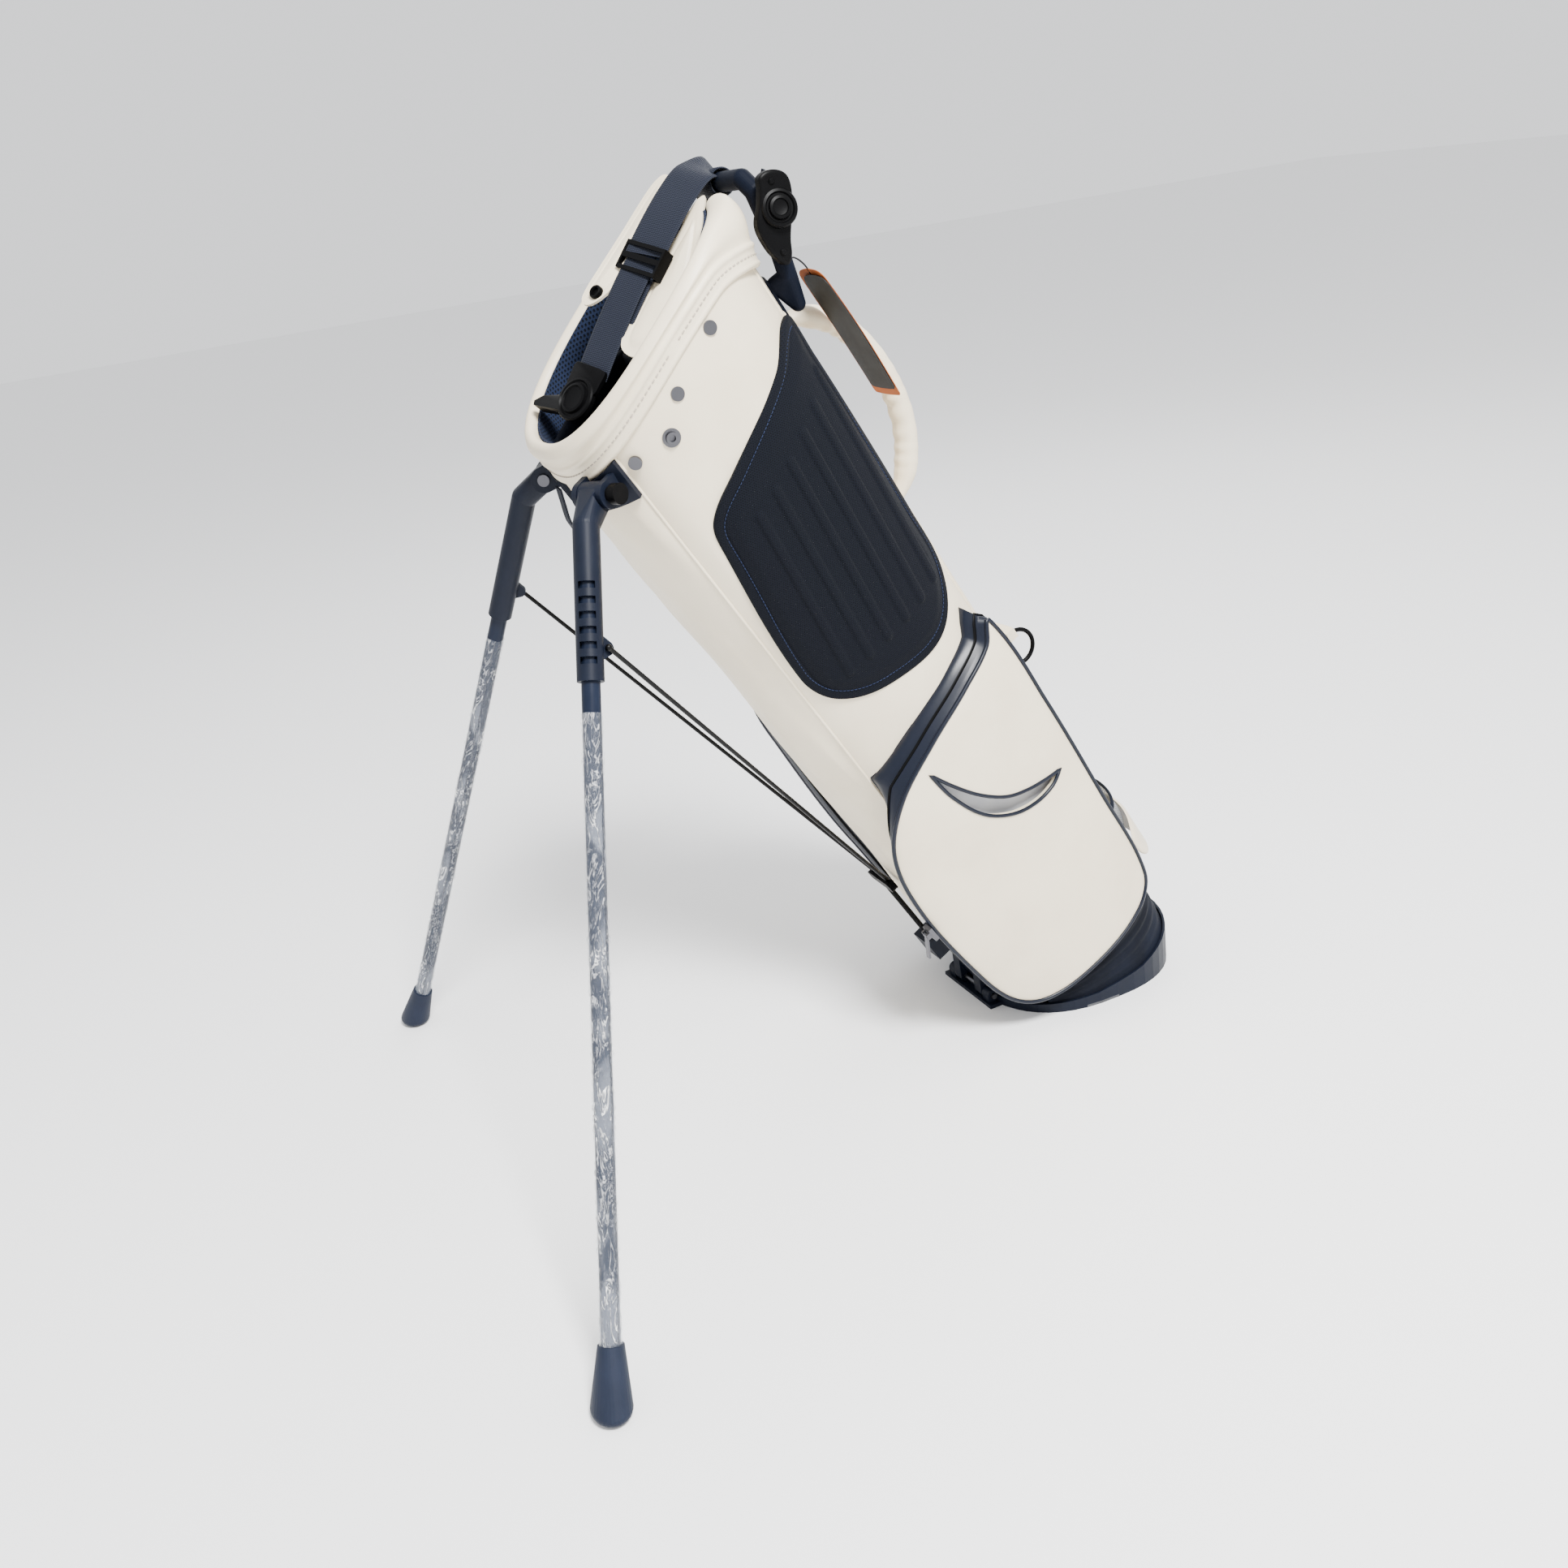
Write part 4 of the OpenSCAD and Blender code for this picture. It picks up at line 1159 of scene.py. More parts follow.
@dataclass
class SidePocket:
    """A side pocket: a leather panel held out from the body by a glossy gusset with a zip.

    Attributes:
        prefix: Start of its pieces' names.
        outline: Loop of the panel in depth and height.
        face: Outermost distance of the panel from the bag's middle.
        mid: Depth at which the panel stands out furthest.
        fall: How much less it stands out at its ends.
        reach: Half its length in depth.
        side: 1 on the bag's left, -1 on its right.
        spread: How far the gusset's foot stands outside the panel's outline.
        seed: Start of the folds' noise.
        nodes: The CAD nodes that the panel and the gusset stand for.
        lowest: Height of the gusset's lowest edge, at the panel.
    """

    prefix: str
    outline: tuple[tuple[float, float], ...]
    face: float
    mid: float
    fall: float
    reach: float
    side: int
    spread: float
    seed: int
    nodes: tuple[str, str]
    lowest: float = 17.0

    def face_x(self, y: Array, z: Array) -> Array:
        """Distance of the panel from the bag's middle."""
        toe = 7 * (1 - smooth_step(z, 15, 170)) + 5 * smooth_step(z, 330, 470)
        return self.face - self.fall * ((y - self.mid) / self.reach) ** 2 - toe

    def place(self, y: Array, z: Array, h: Array) -> Array:
        """Points over the panel's face."""
        x = self.face_x(y, z) + h
        return np.stack([x * self.side, np.broadcast_to(y, x.shape), np.broadcast_to(z, x.shape)], -1)

    def rise(self, y: Array, z: Array, gap: Array) -> Array:
        """Height of the leather over the panel's face."""
        edge = -3.4 * np.exp(-gap / 3.2)
        crown = 1.8 * smooth_step(gap, 0, 60)
        folds = ripple(y, z * 0.7, self.seed, 7) * 0.9 * smooth_step(gap, 4, 40)
        return edge + crown + folds - 1.6

    def loop(self) -> Array:
        """The panel's outline as a smooth loop."""
        return hermite(self.outline, 280, closed=True)

    def panel(self) -> bpy.types.Object:
        """Build the leather panel."""
        parts = MeshParts()
        Patch(self.loop(), self.place, self.rise, rings=52, back=-6.5).build(parts)
        return parts.make(f"{self.prefix}_pocket_leather", 60)

    def gusset_curves(self, count: int = 14) -> Array:
        """Rows of points from the panel's edge to the body."""
        loop = self.loop()
        nxt, prv = np.roll(loop, -1, 0), np.roll(loop, 1, 0)
        d = nxt - prv
        out = np.stack([d[:, 1], -d[:, 0]], -1)
        out /= np.linalg.norm(out, axis=1, keepdims=True)
        if (out * (loop - loop.mean(0))).sum() < 0:
            out = -out
        top = np.clip(out[:, 1] * 0.9 - out[:, 0] * 0.6, 0, 1)
        foot = loop + out * (2 + self.spread * top)[:, None]
        start = self.place(loop[:, 0], loop[:, 1], np.full(len(loop), -3.6))
        end = SECTION.side(foot[:, 0], foot[:, 1], -0.6, limit=0.74)
        end[:, 2] = np.clip(end[:, 2], 16, None)
        end[:, 0] *= self.side
        push = np.stack([np.zeros(len(loop)), out[:, 0], out[:, 1]], -1)
        inward = np.array([-self.side, 0.0, 0.0])
        room = np.abs(start[:, 0] - end[:, 0])[:, None]
        b = start + push * 4.5 + inward * room * 0.25
        c = end + push * 5.0 - inward * room * 0.35
        u = np.linspace(0, 1, count)[:, None, None]
        curves = (1 - u) ** 3 * start + 3 * (1 - u) ** 2 * u * b + 3 * (1 - u) * u**2 * c + u**3 * end
        wall = np.interp(curves[..., 1] + STANCE.hinge_fwd, FOOT_WALL[0], FOOT_WALL[1]) + 8.0
        share = smooth_step(u[..., 0], 0.05, 0.4)
        curves[..., 2] = np.maximum(curves[..., 2], (1 - share) * self.lowest + share * wall)
        return curves

    def gusset(self) -> None:
        """Build the gusset, the piping round the panel and the zip."""
        curves = self.gusset_curves()
        curves[2:-1] += np.array([self.side, 0, 0]) * ripple(curves[2:-1, :, 1], curves[2:-1, :, 2], 31)[...,
                                                                                                         None] * 0.4
        inner = curves + np.array([-self.side * 1.4, 0, 0])
        centre = curves.mean((0, 1))
        inner[..., 1:] += (centre[1:] - inner[..., 1:]) * 0.012
        parts = MeshParts()
        parts.add_grid(np.concatenate([curves, inner[::-1]]), wrap_rows=True, wrap_columns=True)
        dress(parts.make(f"{self.prefix}_pocket_gusset_cloth", 60), Finish.NAVY_GLOSS,
              stands_for=[self.nodes[1]])
        welt = MeshParts()
        loop = self.loop()
        welt.add_tube(self.place(loop[:, 0], loop[:, 1], np.full(len(loop), -3.4)), 2.2, 10, closed=True,
                      up=(self.side, 0.01, 0.02))
        welt.add_tube(curves[-1] + np.array([self.side * 0.8, 0, 0]), 1.6, 8, closed=True, up=(self.side,
                                                                                               0.01, 0.02))
        dress(welt.make(f"{self.prefix}_pocket_piping"), Finish.NAVY_GLOSS)
        zip_line = curves[5]
        lift = curves[5] - inner[5]
        tape = MeshParts()
        tape.add_tube(zip_line + lift / np.linalg.norm(lift, axis=1, keepdims=True) * 0.4, 1.7, 8,
                      closed=True,
                      up=(self.side, 0.01, 0.02), squash=0.6)
        dress(tape.make(f"{self.prefix}_pocket_zip"), Finish.BLACK_PLASTIC)

    def build(self) -> None:
        """Build the pocket."""
        dress(self.panel(), Finish.IVORY, stands_for=[self.nodes[0]])
        self.gusset()


@dataclass
class SlitPocket(SidePocket):
    """The left pocket, whose panel has a bound crescent slit with a pale lining."""

    low_arc: tuple[tuple[float, float], ...] = (
        (-51, 346), (-47, 311), (-33, 272), (-10, 248), (18, 235), (42, 233), (60, 239))
    high_arc: tuple[tuple[float, float], ...] = (
        (60, 239), (40, 245), (20, 253), (-4, 268), (-24, 291), (-39, 318), (-51, 346))

    def crescent(self, grow: float = 0.0) -> Array:
        """Loop of the slit, grown by a distance."""
        loop = np.concatenate([hermite(self.low_arc, 44)[:-1], hermite(self.high_arc, 44)[:-1]])
        if grow:
            centre = np.array([-5.0, 268.0])
            away = loop - centre
            loop = loop + away / np.linalg.norm(away, axis=1, keepdims=True) * grow
        return loop

    def cutter(self) -> bpy.types.Object:
        """A block in the slit's shape that passes through the leather."""
        loop = self.crescent()
        rows = np.stack([self.place(loop[:, 0], loop[:, 1], np.full(len(loop), h)) for h in (-30.0, 30.0)])
        parts = MeshParts()
        parts.add_grid(rows, wrap_columns=True, caps=True)
        return parts.make("slit_cutter")

    def build(self) -> None:
        """Build the pocket with its slit."""
        panel, cutter = self.panel(), self.cutter()
        apply_modifier(panel, "BOOLEAN", object=cutter, operation="DIFFERENCE", solver="EXACT")
        bpy.data.objects.remove(cutter)
        clean(panel, 40)
        dress(panel, Finish.IVORY, stands_for=[self.nodes[0]])
        self.gusset()
        loop = self.crescent()
        gap = edge_distance(loop, self.loop())
        rim = self.place(loop[:, 0], loop[:, 1], self.rise(loop[:, 0], loop[:, 1], gap) + 0.2)
        binding = MeshParts()
        binding.add_tube(rim, 1.9, 10, closed=True, up=(1, 0.01, 0.02))
        dress(binding.make("slit_binding"), Finish.NAVY_GLOSS)
        lining = MeshParts()
        Patch(self.crescent(9.0), self.place, lambda y, z, gap: -13.0 + 0.8 * ripple(y, z, 41), rings=14,
              back=-14.5).build(lining)
        dress(lining.make("slit_lining"), Finish.SLIT_LINING)


@dataclass
class GrabHandle:
    """The soft handle on the spine: a stuffed roll pinched to the skin at both ends."""

    radius: float = 12.0
    path: tuple[tuple[float, float, float], ...] = (
        (0, 118, 728), (0, 146, 716), (0, 171, 684), (0, 180.5, 632), (0, 172, 578), (0, 146, 536), (0, 116,
                                                                                                     516))

    def build(self) -> None:
        """Build the handle."""
        line = hermite(self.path, 170)
        share = np.linspace(0, 1, len(line))
        taper = 0.55 + 0.45 * smooth_step(np.minimum(share, 1 - share), 0.0, 0.16)
        bend = 4 * share * (1 - share)
        _, side, lift = frames(line, (1, 0, 0))
        a = np.linspace(0, 2 * math.pi, 36, endpoint=False)
        crease = 0.05 * np.sin(share * 2 * math.pi * 17 + 1.3 * np.sin(share * 23))[:, None]
        inside = np.clip(-np.cos(a), 0, 1)[None]
        r = self.radius * taper[:, None] * (1 + crease * (0.3 + inside) * bend[:, None])
        seam = 1 - 0.07 * np.exp(-((a - math.pi) / 0.16) ** 2)[None]
        grid = line[:, None] + (side[:, None] * np.cos(a)[None, :, None] * 0.92
                                + lift[:, None] * np.sin(a)[None, :, None] * 1.08) * (r * seam)[..., None]
        parts = MeshParts()
        parts.add_grid(grid, wrap_columns=True, caps=True)
        handle = dress(parts.make("grab_handle_roll", 60), Finish.IVORY, stands_for=["grab_handle"])
        patches = MeshParts()
        for z in (728.0, 514.0):
            loop = hermite([(68, z - 20), (112, z - 20), (112, z + 22), (68, z + 22)], 80, closed=True)
            Patch(loop, lambda t, h_z, h: SECTION.at(t, -h, h_z),
                  lambda t, h_z, gap: 0.6 + 1.8 * np.sqrt(np.clip(gap / 3, 0,
                                                                  1)), rings=16, back=0.2).build(patches)
        dress(patches.make("grab_handle_patches", 60), Finish.IVORY)


@dataclass
class ShoulderPad:
    """A stuffed tongue of the carrying strap, folded up out of the mouth.

    Attributes:
        name: Name of the piece.
        node: Frame node it stands for.
        origin: Point on its middle plane.
        along: Its length direction.
        across: Its width direction.
        outline: Loop along and across.
        thick: Thickness when stuffed.
    """

    name: str
    node: str
    origin: tuple[float, float, float]
    along: tuple[float, float, float]
    across: tuple[float, float, float]
    outline: tuple[tuple[float, float], ...]
    thick: float = 13.0

    def build(self) -> None:
        """Build the tongue, rounded as if stuffed, and its stitches."""
        o, a = np.array(self.origin), np.array(self.along) / np.linalg.norm(self.along)
        b = np.array(self.across) - a * np.dot(self.across, a)
        b /= np.linalg.norm(b)
        n = np.cross(a, b)
        loop = hermite(self.outline, 150, closed=True)
        arch = 0.0009

        def put(u: Array, v: Array, h: Array) -> Array:
            """Points over the tongue's middle plane, arched across its width."""
            bow = h - arch * np.asarray(u) ** 2
            return o + a * np.asarray(u)[:, None] + b * np.asarray(v)[:, None] + n * bow[:, None]

        half = self.thick / 2
        parts = MeshParts()
        centre = loop.mean(0)
        rows = []
        for s in np.linspace(0.02, 1, 26):
            flat = centre + s * (loop - centre)
            gap = edge_distance(flat, loop)
            rows.append(put(flat[:, 0], flat[:, 1], 1.2 + (half - 1.2) * smooth_step(gap, 1, 20)
                            - 1.0 * np.exp(-((gap - 7) / 1.2) ** 2)))
        for s in np.linspace(1, 0.02, 26):
            flat = centre + s * (loop - centre)
            gap = edge_distance(flat, loop)
            rows.append(put(flat[:, 0], flat[:, 1], -1.2 - (half - 1.2) * smooth_step(gap, 1, 20)
                            + 1.0 * np.exp(-((gap - 7) / 1.2) ** 2)))
        parts.add_grid(np.stack(rows), wrap_columns=True, caps=True)
        pad = parts.make(self.name, 70)
        dress(pad, Finish.IVORY, stands_for=[self.node])
        inner = centre + (loop - centre) * (1 - 7.0 / np.linalg.norm(loop - centre, axis=1)[:, None])
        row = put(inner[:, 0], inner[:, 1], np.full(len(loop), 1.7))
        dress(stitches(row, np.broadcast_to(n, row.shape), closed=True).make(f"{self.name}_stitching"),
              Finish.THREAD)


@dataclass
class CarryingStrap:
    """Webbing from the handle's loop over the mouth to the front clip, and the clips."""

    wide: float = 44.0
    narrow: float = 35.0
    facing: tuple[float, float, float] = (0.42, -0.12, 0.9)
    loop_at: tuple[float, float, float] = (-21.0, 152.0, 853.0)
    glide_at: tuple[float, float, float] = (-4.0, 55.0, 846.0)
    clip_at: tuple[float, float, float] = (0.0, -67.0, 796.0)
    roll: float = 23.0

    def webbing(self) -> None:
        """Build both lengths of webbing and the loop round the handle."""
        upper = MeshParts()
        upper.add_ribbon(hermite([(-18, 158, 860), (-16, 150, 868), (-13, 138, 872), (-11, 118, 869), (-7, 92,
                                                                                                       862),
                                  (-4, 66, 853), (-3, 58, 850)], 60), self.wide, 2.4, self.facing)
        dress(upper.make("strap_webbing_wide", 60), Finish.NAVY_WEBBING, stands_for=["webbing_upper"])
        lower = MeshParts()
        lower.add_ribbon(hermite([(-4, 54, 848), (-3, 34, 841), (-2, 2, 827), (0, -28, 813), (1, -46, 804)],
                                 50),
                         self.narrow, 2.2, self.facing)
        lower.add_ribbon(hermite([(-4, 52, 844), (-3, 36, 837.5), (-2, 16, 829), (-1, 4, 824)], 24),
                         self.narrow, 2.0, self.facing)
        dress(lower.make("strap_webbing_narrow", 60), Finish.NAVY_WEBBING, stands_for=["webbing_lower"])
        a = np.linspace(-0.55 * math.pi, 1.35 * math.pi, 44)
        turn = np.stack([np.full(44, self.loop_at[0]), self.loop_at[1] + 11.2 * np.cos(a),
                         self.loop_at[2] + 11.2 * np.sin(a)], -1)
        wrap = MeshParts()
        self._wrap(wrap, turn)
        dress(wrap.make("strap_wrap", 60), Finish.NAVY_WEBBING, stands_for=["strap_loop"])

    def _wrap(self, parts: MeshParts, turn: Array) -> None:
        """Add the webbing that turns round the handle."""
        centre = np.array([0.0, self.loop_at[1], self.loop_at[2]])
        out = turn * np.array([0, 1, 1]) - centre
        out /= np.linalg.norm(out, axis=1, keepdims=True)
        x = np.array([1.0, 0, 0])
        loop = [(-20, -1.1), (20, -1.1), (20.8, 0), (20, 1.1), (-20, 1.1), (-20.8, 0)]
        grid = np.stack([turn + x * w + out * h for w, h in loop], 1)
        parts.add_grid(grid, wrap_columns=True, caps=True)

    def swivel(self, parts: MeshParts, place: Callable[[Array], Array], r: float) -> None:
        """Add a round swivel cover with its rings."""
        parts.add_lathe([(0, 0), (r - 1, 0), (r, 1), (r, 5.0), (r - 1.0, 6.4), (r - 3.2, 7.0), (r - 4.4, 5.6),
                         (r - 6.0, 5.6), (r - 6.8, 8.2), (r - 9.0, 8.8), (r - 9.8, 7.4), (3, 6.8), (0,
                                                                                                    6.8)], place, 72)

    def front_cover(self) -> None:
        """Build the front swivel cover with the tongue that holds the webbing."""
        slope = math.atan2(self.glide_at[2] - self.clip_at[2], self.glide_at[1] - self.clip_at[1])
        turn = np.array(Matrix.Rotation(slope, 3, "X") @ Matrix.Rotation(math.radians(self.roll), 3, "Y"))

        def place(p: Array) -> Array:
            """Take points about the cover's own axis to the bag's frame."""
            return p @ turn.T + np.array(self.clip_at)

        parts = MeshParts()
        self.swivel(parts, place, 20.0)
        tongue = hermite([(-17, 8), (17, 8), (20, 20), (20, 29), (17, 31), (-17, 31), (-20, 29), (-20, 20)],
                         64,
                         closed=True)
        base = np.stack([np.concatenate([tongue, np.full((64, 1), h)], 1) for h in (0.6, 1.0, 4.6, 5.0)])
        centre = np.array([0.0, 19.0])
        base[[0, 3], :, :2] = centre + (base[[0, 3], :, :2] - centre) * 0.97
        parts.add_grid(place(base), wrap_columns=True, caps=True)
        dress(parts.make("front_swivel_cover", 35), Finish.BLACK_PLASTIC, stands_for=["front_clip"])

    def rear_buckle(self) -> None:
        """Build the swivel buckle beside the carrying handle."""
        loop = hermite([(152, 853), (164, 851), (173, 840), (169, 826), (158, 812), (146, 798), (138, 786),
                        (131, 783),
                        (126, 792), (124, 806), (127, 824), (139, 836), (147, 846)], 110, closed=True)
        parts = MeshParts()
        Patch(loop, lambda y, z, h: np.stack([70 + h, y, z], -1),
              lambda y, z, gap: 6.5 + 1.6 * np.sqrt(np.clip(gap / 2.5, 0,
                                                            1)), rings=18, back=-1.0).build(parts)
        turn = np.array(Matrix.Rotation(math.radians(78), 3, "Y"))
        self.swivel(parts, lambda p: p @ turn.T + np.array([75.0, 151.0, 823.0]), 16.0)
        for y, z in ((133.0, 794.0), (158.0, 844.0)):
            parts.add_lathe([(0, 0), (2.6, 0), (2.6, 9.0), (1.8, 9.8), (0, 9.8)],
                            lambda p, y=y, z=z: p @ np.array(Matrix.Rotation(math.pi / 2, 3,
                                                                             "Y")).T + np.array([70.0, y, z]), 20)
        dress(parts.make("rear_swivel_buckle", 35), Finish.BLACK_PLASTIC, stands_for=["rear_clip"])

    def build(self) -> None:
        """Build the strap."""
        self.webbing()
        self.front_cover()
        self.rear_buckle()


@dataclass
class PadEyelet:
    """The black eyelet pressed into the lower end of the second shoulder pad."""

    at: tuple[float, float, float] = (-27.0, 10.0, 849.5)

    def build(self) -> None:
        """Build the eyelet."""
        turn = np.array(Matrix.Rotation(math.radians(20), 3, "X") @ Matrix.Rotation(math.radians(24), 3, "Y"))
        parts = MeshParts()
        parts.add_lathe([(0, -1.0), (3.4, -1.0), (3.6, 0.6), (4.2, 1.8), (5.4, 1.8), (6.2, 0.8), (6.2, -3.0),
                         (0, -3.0)],
                        lambda p: p @ turn.T + np.array(self.at), 32)
        dress(parts.make("pad_eyelet", 40), Finish.BLACK_PLASTIC)


@dataclass
class HangTags:
    """Two blank cards on a cord from the handle's post."""

    def build(self) -> None:
        """Build the cards and their cord."""
        for name, finish, x0, x1, z0, z1, y in (
            ("tag_card_large", Finish.KRAFT, 15, 63, 621, 757, 157.6),
            ("tag_card_small", Finish.BLACK_CARD, 21, 65, 630, 752, 155.6),
        ):
            loop = hermite([(x0, z0 + 3), (x0, z1 - 9), (x0 + 9, z1), (x1 - 9, z1), (x1, z1 - 9), (x1,
                                                                                                   z0 + 3),
                            (x1 - 3, z0), (x0 + 3, z0)], 120, closed=True)
            parts = MeshParts()
            Patch(loop, lambda x, z, h, y=y: np.stack([x, y + h + 1.5 * np.sin((z - z0) / 43), z], -1),
                  lambda x, z, gap: np.full(x.shape, 0.5), rings=12, back=-0.1).build(parts)
            stands = ["hang_tags"] if name == "tag_card_large" else []
            dress(parts.make(name, 40), finish, stands_for=stands)
        cord = MeshParts()
        cord.add_tube(hermite([(40, 158, 752), (41, 157, 764), (48, 150, 776), (56, 141, 780), (60, 133,
                                                                                                782)], 30), 0.8, 8)
        dress(cord.make("tag_cord"), Finish.BLACK_CARD)


@dataclass
class RearPouch:
    """The mesh pouch at the foot of the spine and its leather flap."""

    low: float = 64.0
    high: float = 108.0
    start: float = 52.5
    stop: float = 120.0
    depth: float = 20.0

    def build(self) -> None:
        """Build the pouch, its elastic hem and the flap."""
        t = np.linspace(self.start, self.stop, 50)
        share = np.linspace(0, 1, 50)
        z = np.linspace(self.low, self.high, 20)[:, None]
        swell = np.clip(np.sin(share * math.pi), 0, 1)[None] ** 0.45
        rise = 0.5 + 0.5 * smooth_step(z, self.low - 12, self.low + 18)
        off = -0.4 - (self.depth - 1) * swell * rise
        outer = SECTION.at(t[None], off, z)
        inner = SECTION.at(t[None], off + 0.9, z)
        parts = MeshParts()
        parts.add_grid(np.concatenate([outer, inner[::-1]]), wrap_rows=True)
        dress(parts.make("pouch_net", 60), Finish.POUCH_MESH, stands_for=["rear_pouch"])
        hem = MeshParts()
        hem.add_tube(outer[-1], 1.6, 10, up=(0, 0, 1), squash=2.2)
        dress(hem.make("pouch_hem"), Finish.NAVY_CLOTH)
        loop = hermite([(48, 84), (84, 87), (124, 84), (127, 60), (114, 34), (86, 28), (60, 34), (45, 60)],
                       160,
                       closed=True)
        flap = MeshParts()
        Patch(loop, lambda a, b, h: SECTION.at(a, -h, b),
              lambda a, b, gap: 20.6 + 2.4 * np.sqrt(np.clip(gap / 4, 0, 1)) + 0.5 * ripple(a * 2, b,
                                                                                            51), rings=26,
              back=19.9).build(flap)
        dress(flap.make("pouch_flap_leather", 60), Finish.IVORY, stands_for=["pouch_flap"])


@dataclass
class BaseSkirt:
    """The gathered skirt between the shell and the hinged foot, tucked into folds."""

    folds: int = 5

    def build(self) -> None:
        """Build the skirt."""
        t = np.linspace(-38, 218, 120)
        rows = 22
        share = np.linspace(0, 1, rows)[:, None]
        top = SECTION.at(t, -0.9, 12.5)
        foot_world = self._foot_edge(t)
        top_world = STANCE.world(top)
        line = (1 - share[..., None]) * top_world[None] + share[..., None] * foot_world[None]
        tuck = np.abs(np.sin(share * math.pi * self.folds)) * np.sin(share * math.pi) * 0.005
        centre = np.array([0.0, 0.118, 0.05])
        inward = centre - line
        inward[..., 2] = 0
        inward /= np.linalg.norm(inward, axis=-1, keepdims=True)
        opening = np.clip(np.linalg.norm(top_world - foot_world, axis=-1) / 0.09, 0, 1)[None, :, None]
        line = line + inward * tuck[..., None] * opening
        back = line + inward * 0.0012
        parts = MeshParts()
        grid = np.concatenate([line, back[::-1]])
        parts.add_grid(grid / MM, wrap_rows=True)
        obj = self._raw(parts, "base_skirt")
        obj.data.materials.append(material(Finish.NAVY_CLOTH))
        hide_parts("base_gusset")
        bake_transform(obj)

    def _foot_edge(self, t: Array) -> Array:
        """Points just inside the top of the foot's wall, in metres in the shared frame."""
        p = SECTION.at(t, -2.4, 0.0)
        depth = p[:, 1] + STANCE.hinge_fwd
        height = np.interp(depth, (-30, 30, 90, 150, 200, 240), (9, 10, 14, 24, 40, 52))
        return np.stack([p[:, 0], depth, height - 2.5], -1) * MM

    def _raw(self, parts: MeshParts, name: str) -> bpy.types.Object:
        """Make an object whose points are already in the shared frame, in millimetres."""
        mesh = bpy.data.meshes.new(name)
        mesh.from_pydata([tuple(p * MM) for p in np.concatenate(parts.points)], [], parts.faces)
        mesh.uv_layers.new(name="flat")
        obj = bpy.data.objects.new(name, mesh)
        bpy.context.scene.collection.objects.link(obj)
        clean(obj, 60)
        return obj


@dataclass
class LegFilm:
    """Crinkled packing film drawn round each leg tube."""

    top: tuple[float, float, float] = (80.6, -126.0, 759.2)
    along: tuple[float, float, float] = (0.3746, -0.6688, -0.6415)
    start: float = 186.0
    stop: float = 696.0
    radius: float = 8.9

    def leg(self, side: int, body: str, node: str) -> None:
        """Build the film of one leg.

        Args:
            side: 1 on the bag's left, -1 on its right.
            body: Body it moves with.
            node: Frame node it stands for.
        """
        d = np.array(self.along) / np.linalg.norm(self.along)
        steps = np.linspace(self.start, self.stop, 520)
        path = np.array(self.top) + d * steps[:, None]
        path[:, 0] *= side
        _, across, lift = frames(path, (0, 0, 1))
        a = np.linspace(0, 2 * math.pi, 40, endpoint=False)
        rng = np.random.default_rng(60 + side)
        crumple = np.zeros((520, 40))
        for _ in range(46):
            k, w = rng.integers(-4, 5), rng.uniform(0.12, 0.9)
            crumple += np.abs(np.sin(steps[:, None] * w * 0.5 + a[None] * k + rng.uniform(0,
                                                                                          6.28))) * rng.uniform(0.4, 1)
        crumple = (crumple - crumple.mean()) / crumple.std()
        r = self.radius + np.clip(crumple * 0.28, -0.5, 1.1)
        grid = path[:, None] + (across[:, None] * np.cos(a)[None, :, None] + lift[:, None] * np.sin(a)[None,
                                                                                                       :, None]) * r[..., None]
        parts = MeshParts()
        parts.add_grid(grid, wrap_columns=True)
        dress(parts.make(f"{body}_film", 180), Finish.FILM, body, [node])

    def build(self) -> None:
        """Build the film of both legs."""
        self.leg(1, "left_leg", "left_sleeve_film")
        self.leg(-1, "right_leg", "right_sleeve_film")


@dataclass
class LegStrap:
    """The short tail of webbing that hangs from the far bracket."""

    def build(self) -> None:
        """Build the tail."""
        parts = MeshParts()
        parts.add_ribbon(hermite([(-36, -124, 741), (-38, -129, 728), (-40, -135, 712), (-41, -136, 702)],
                                 24), 11, 2.0,
                         (0, -1, 0.2))
        dress(parts.make("leg_strap_tail", 60), Finish.NAVY_WEBBING, stands_for=["leg_strap"])


# --------------------------------------------------------------------------- frame finishes


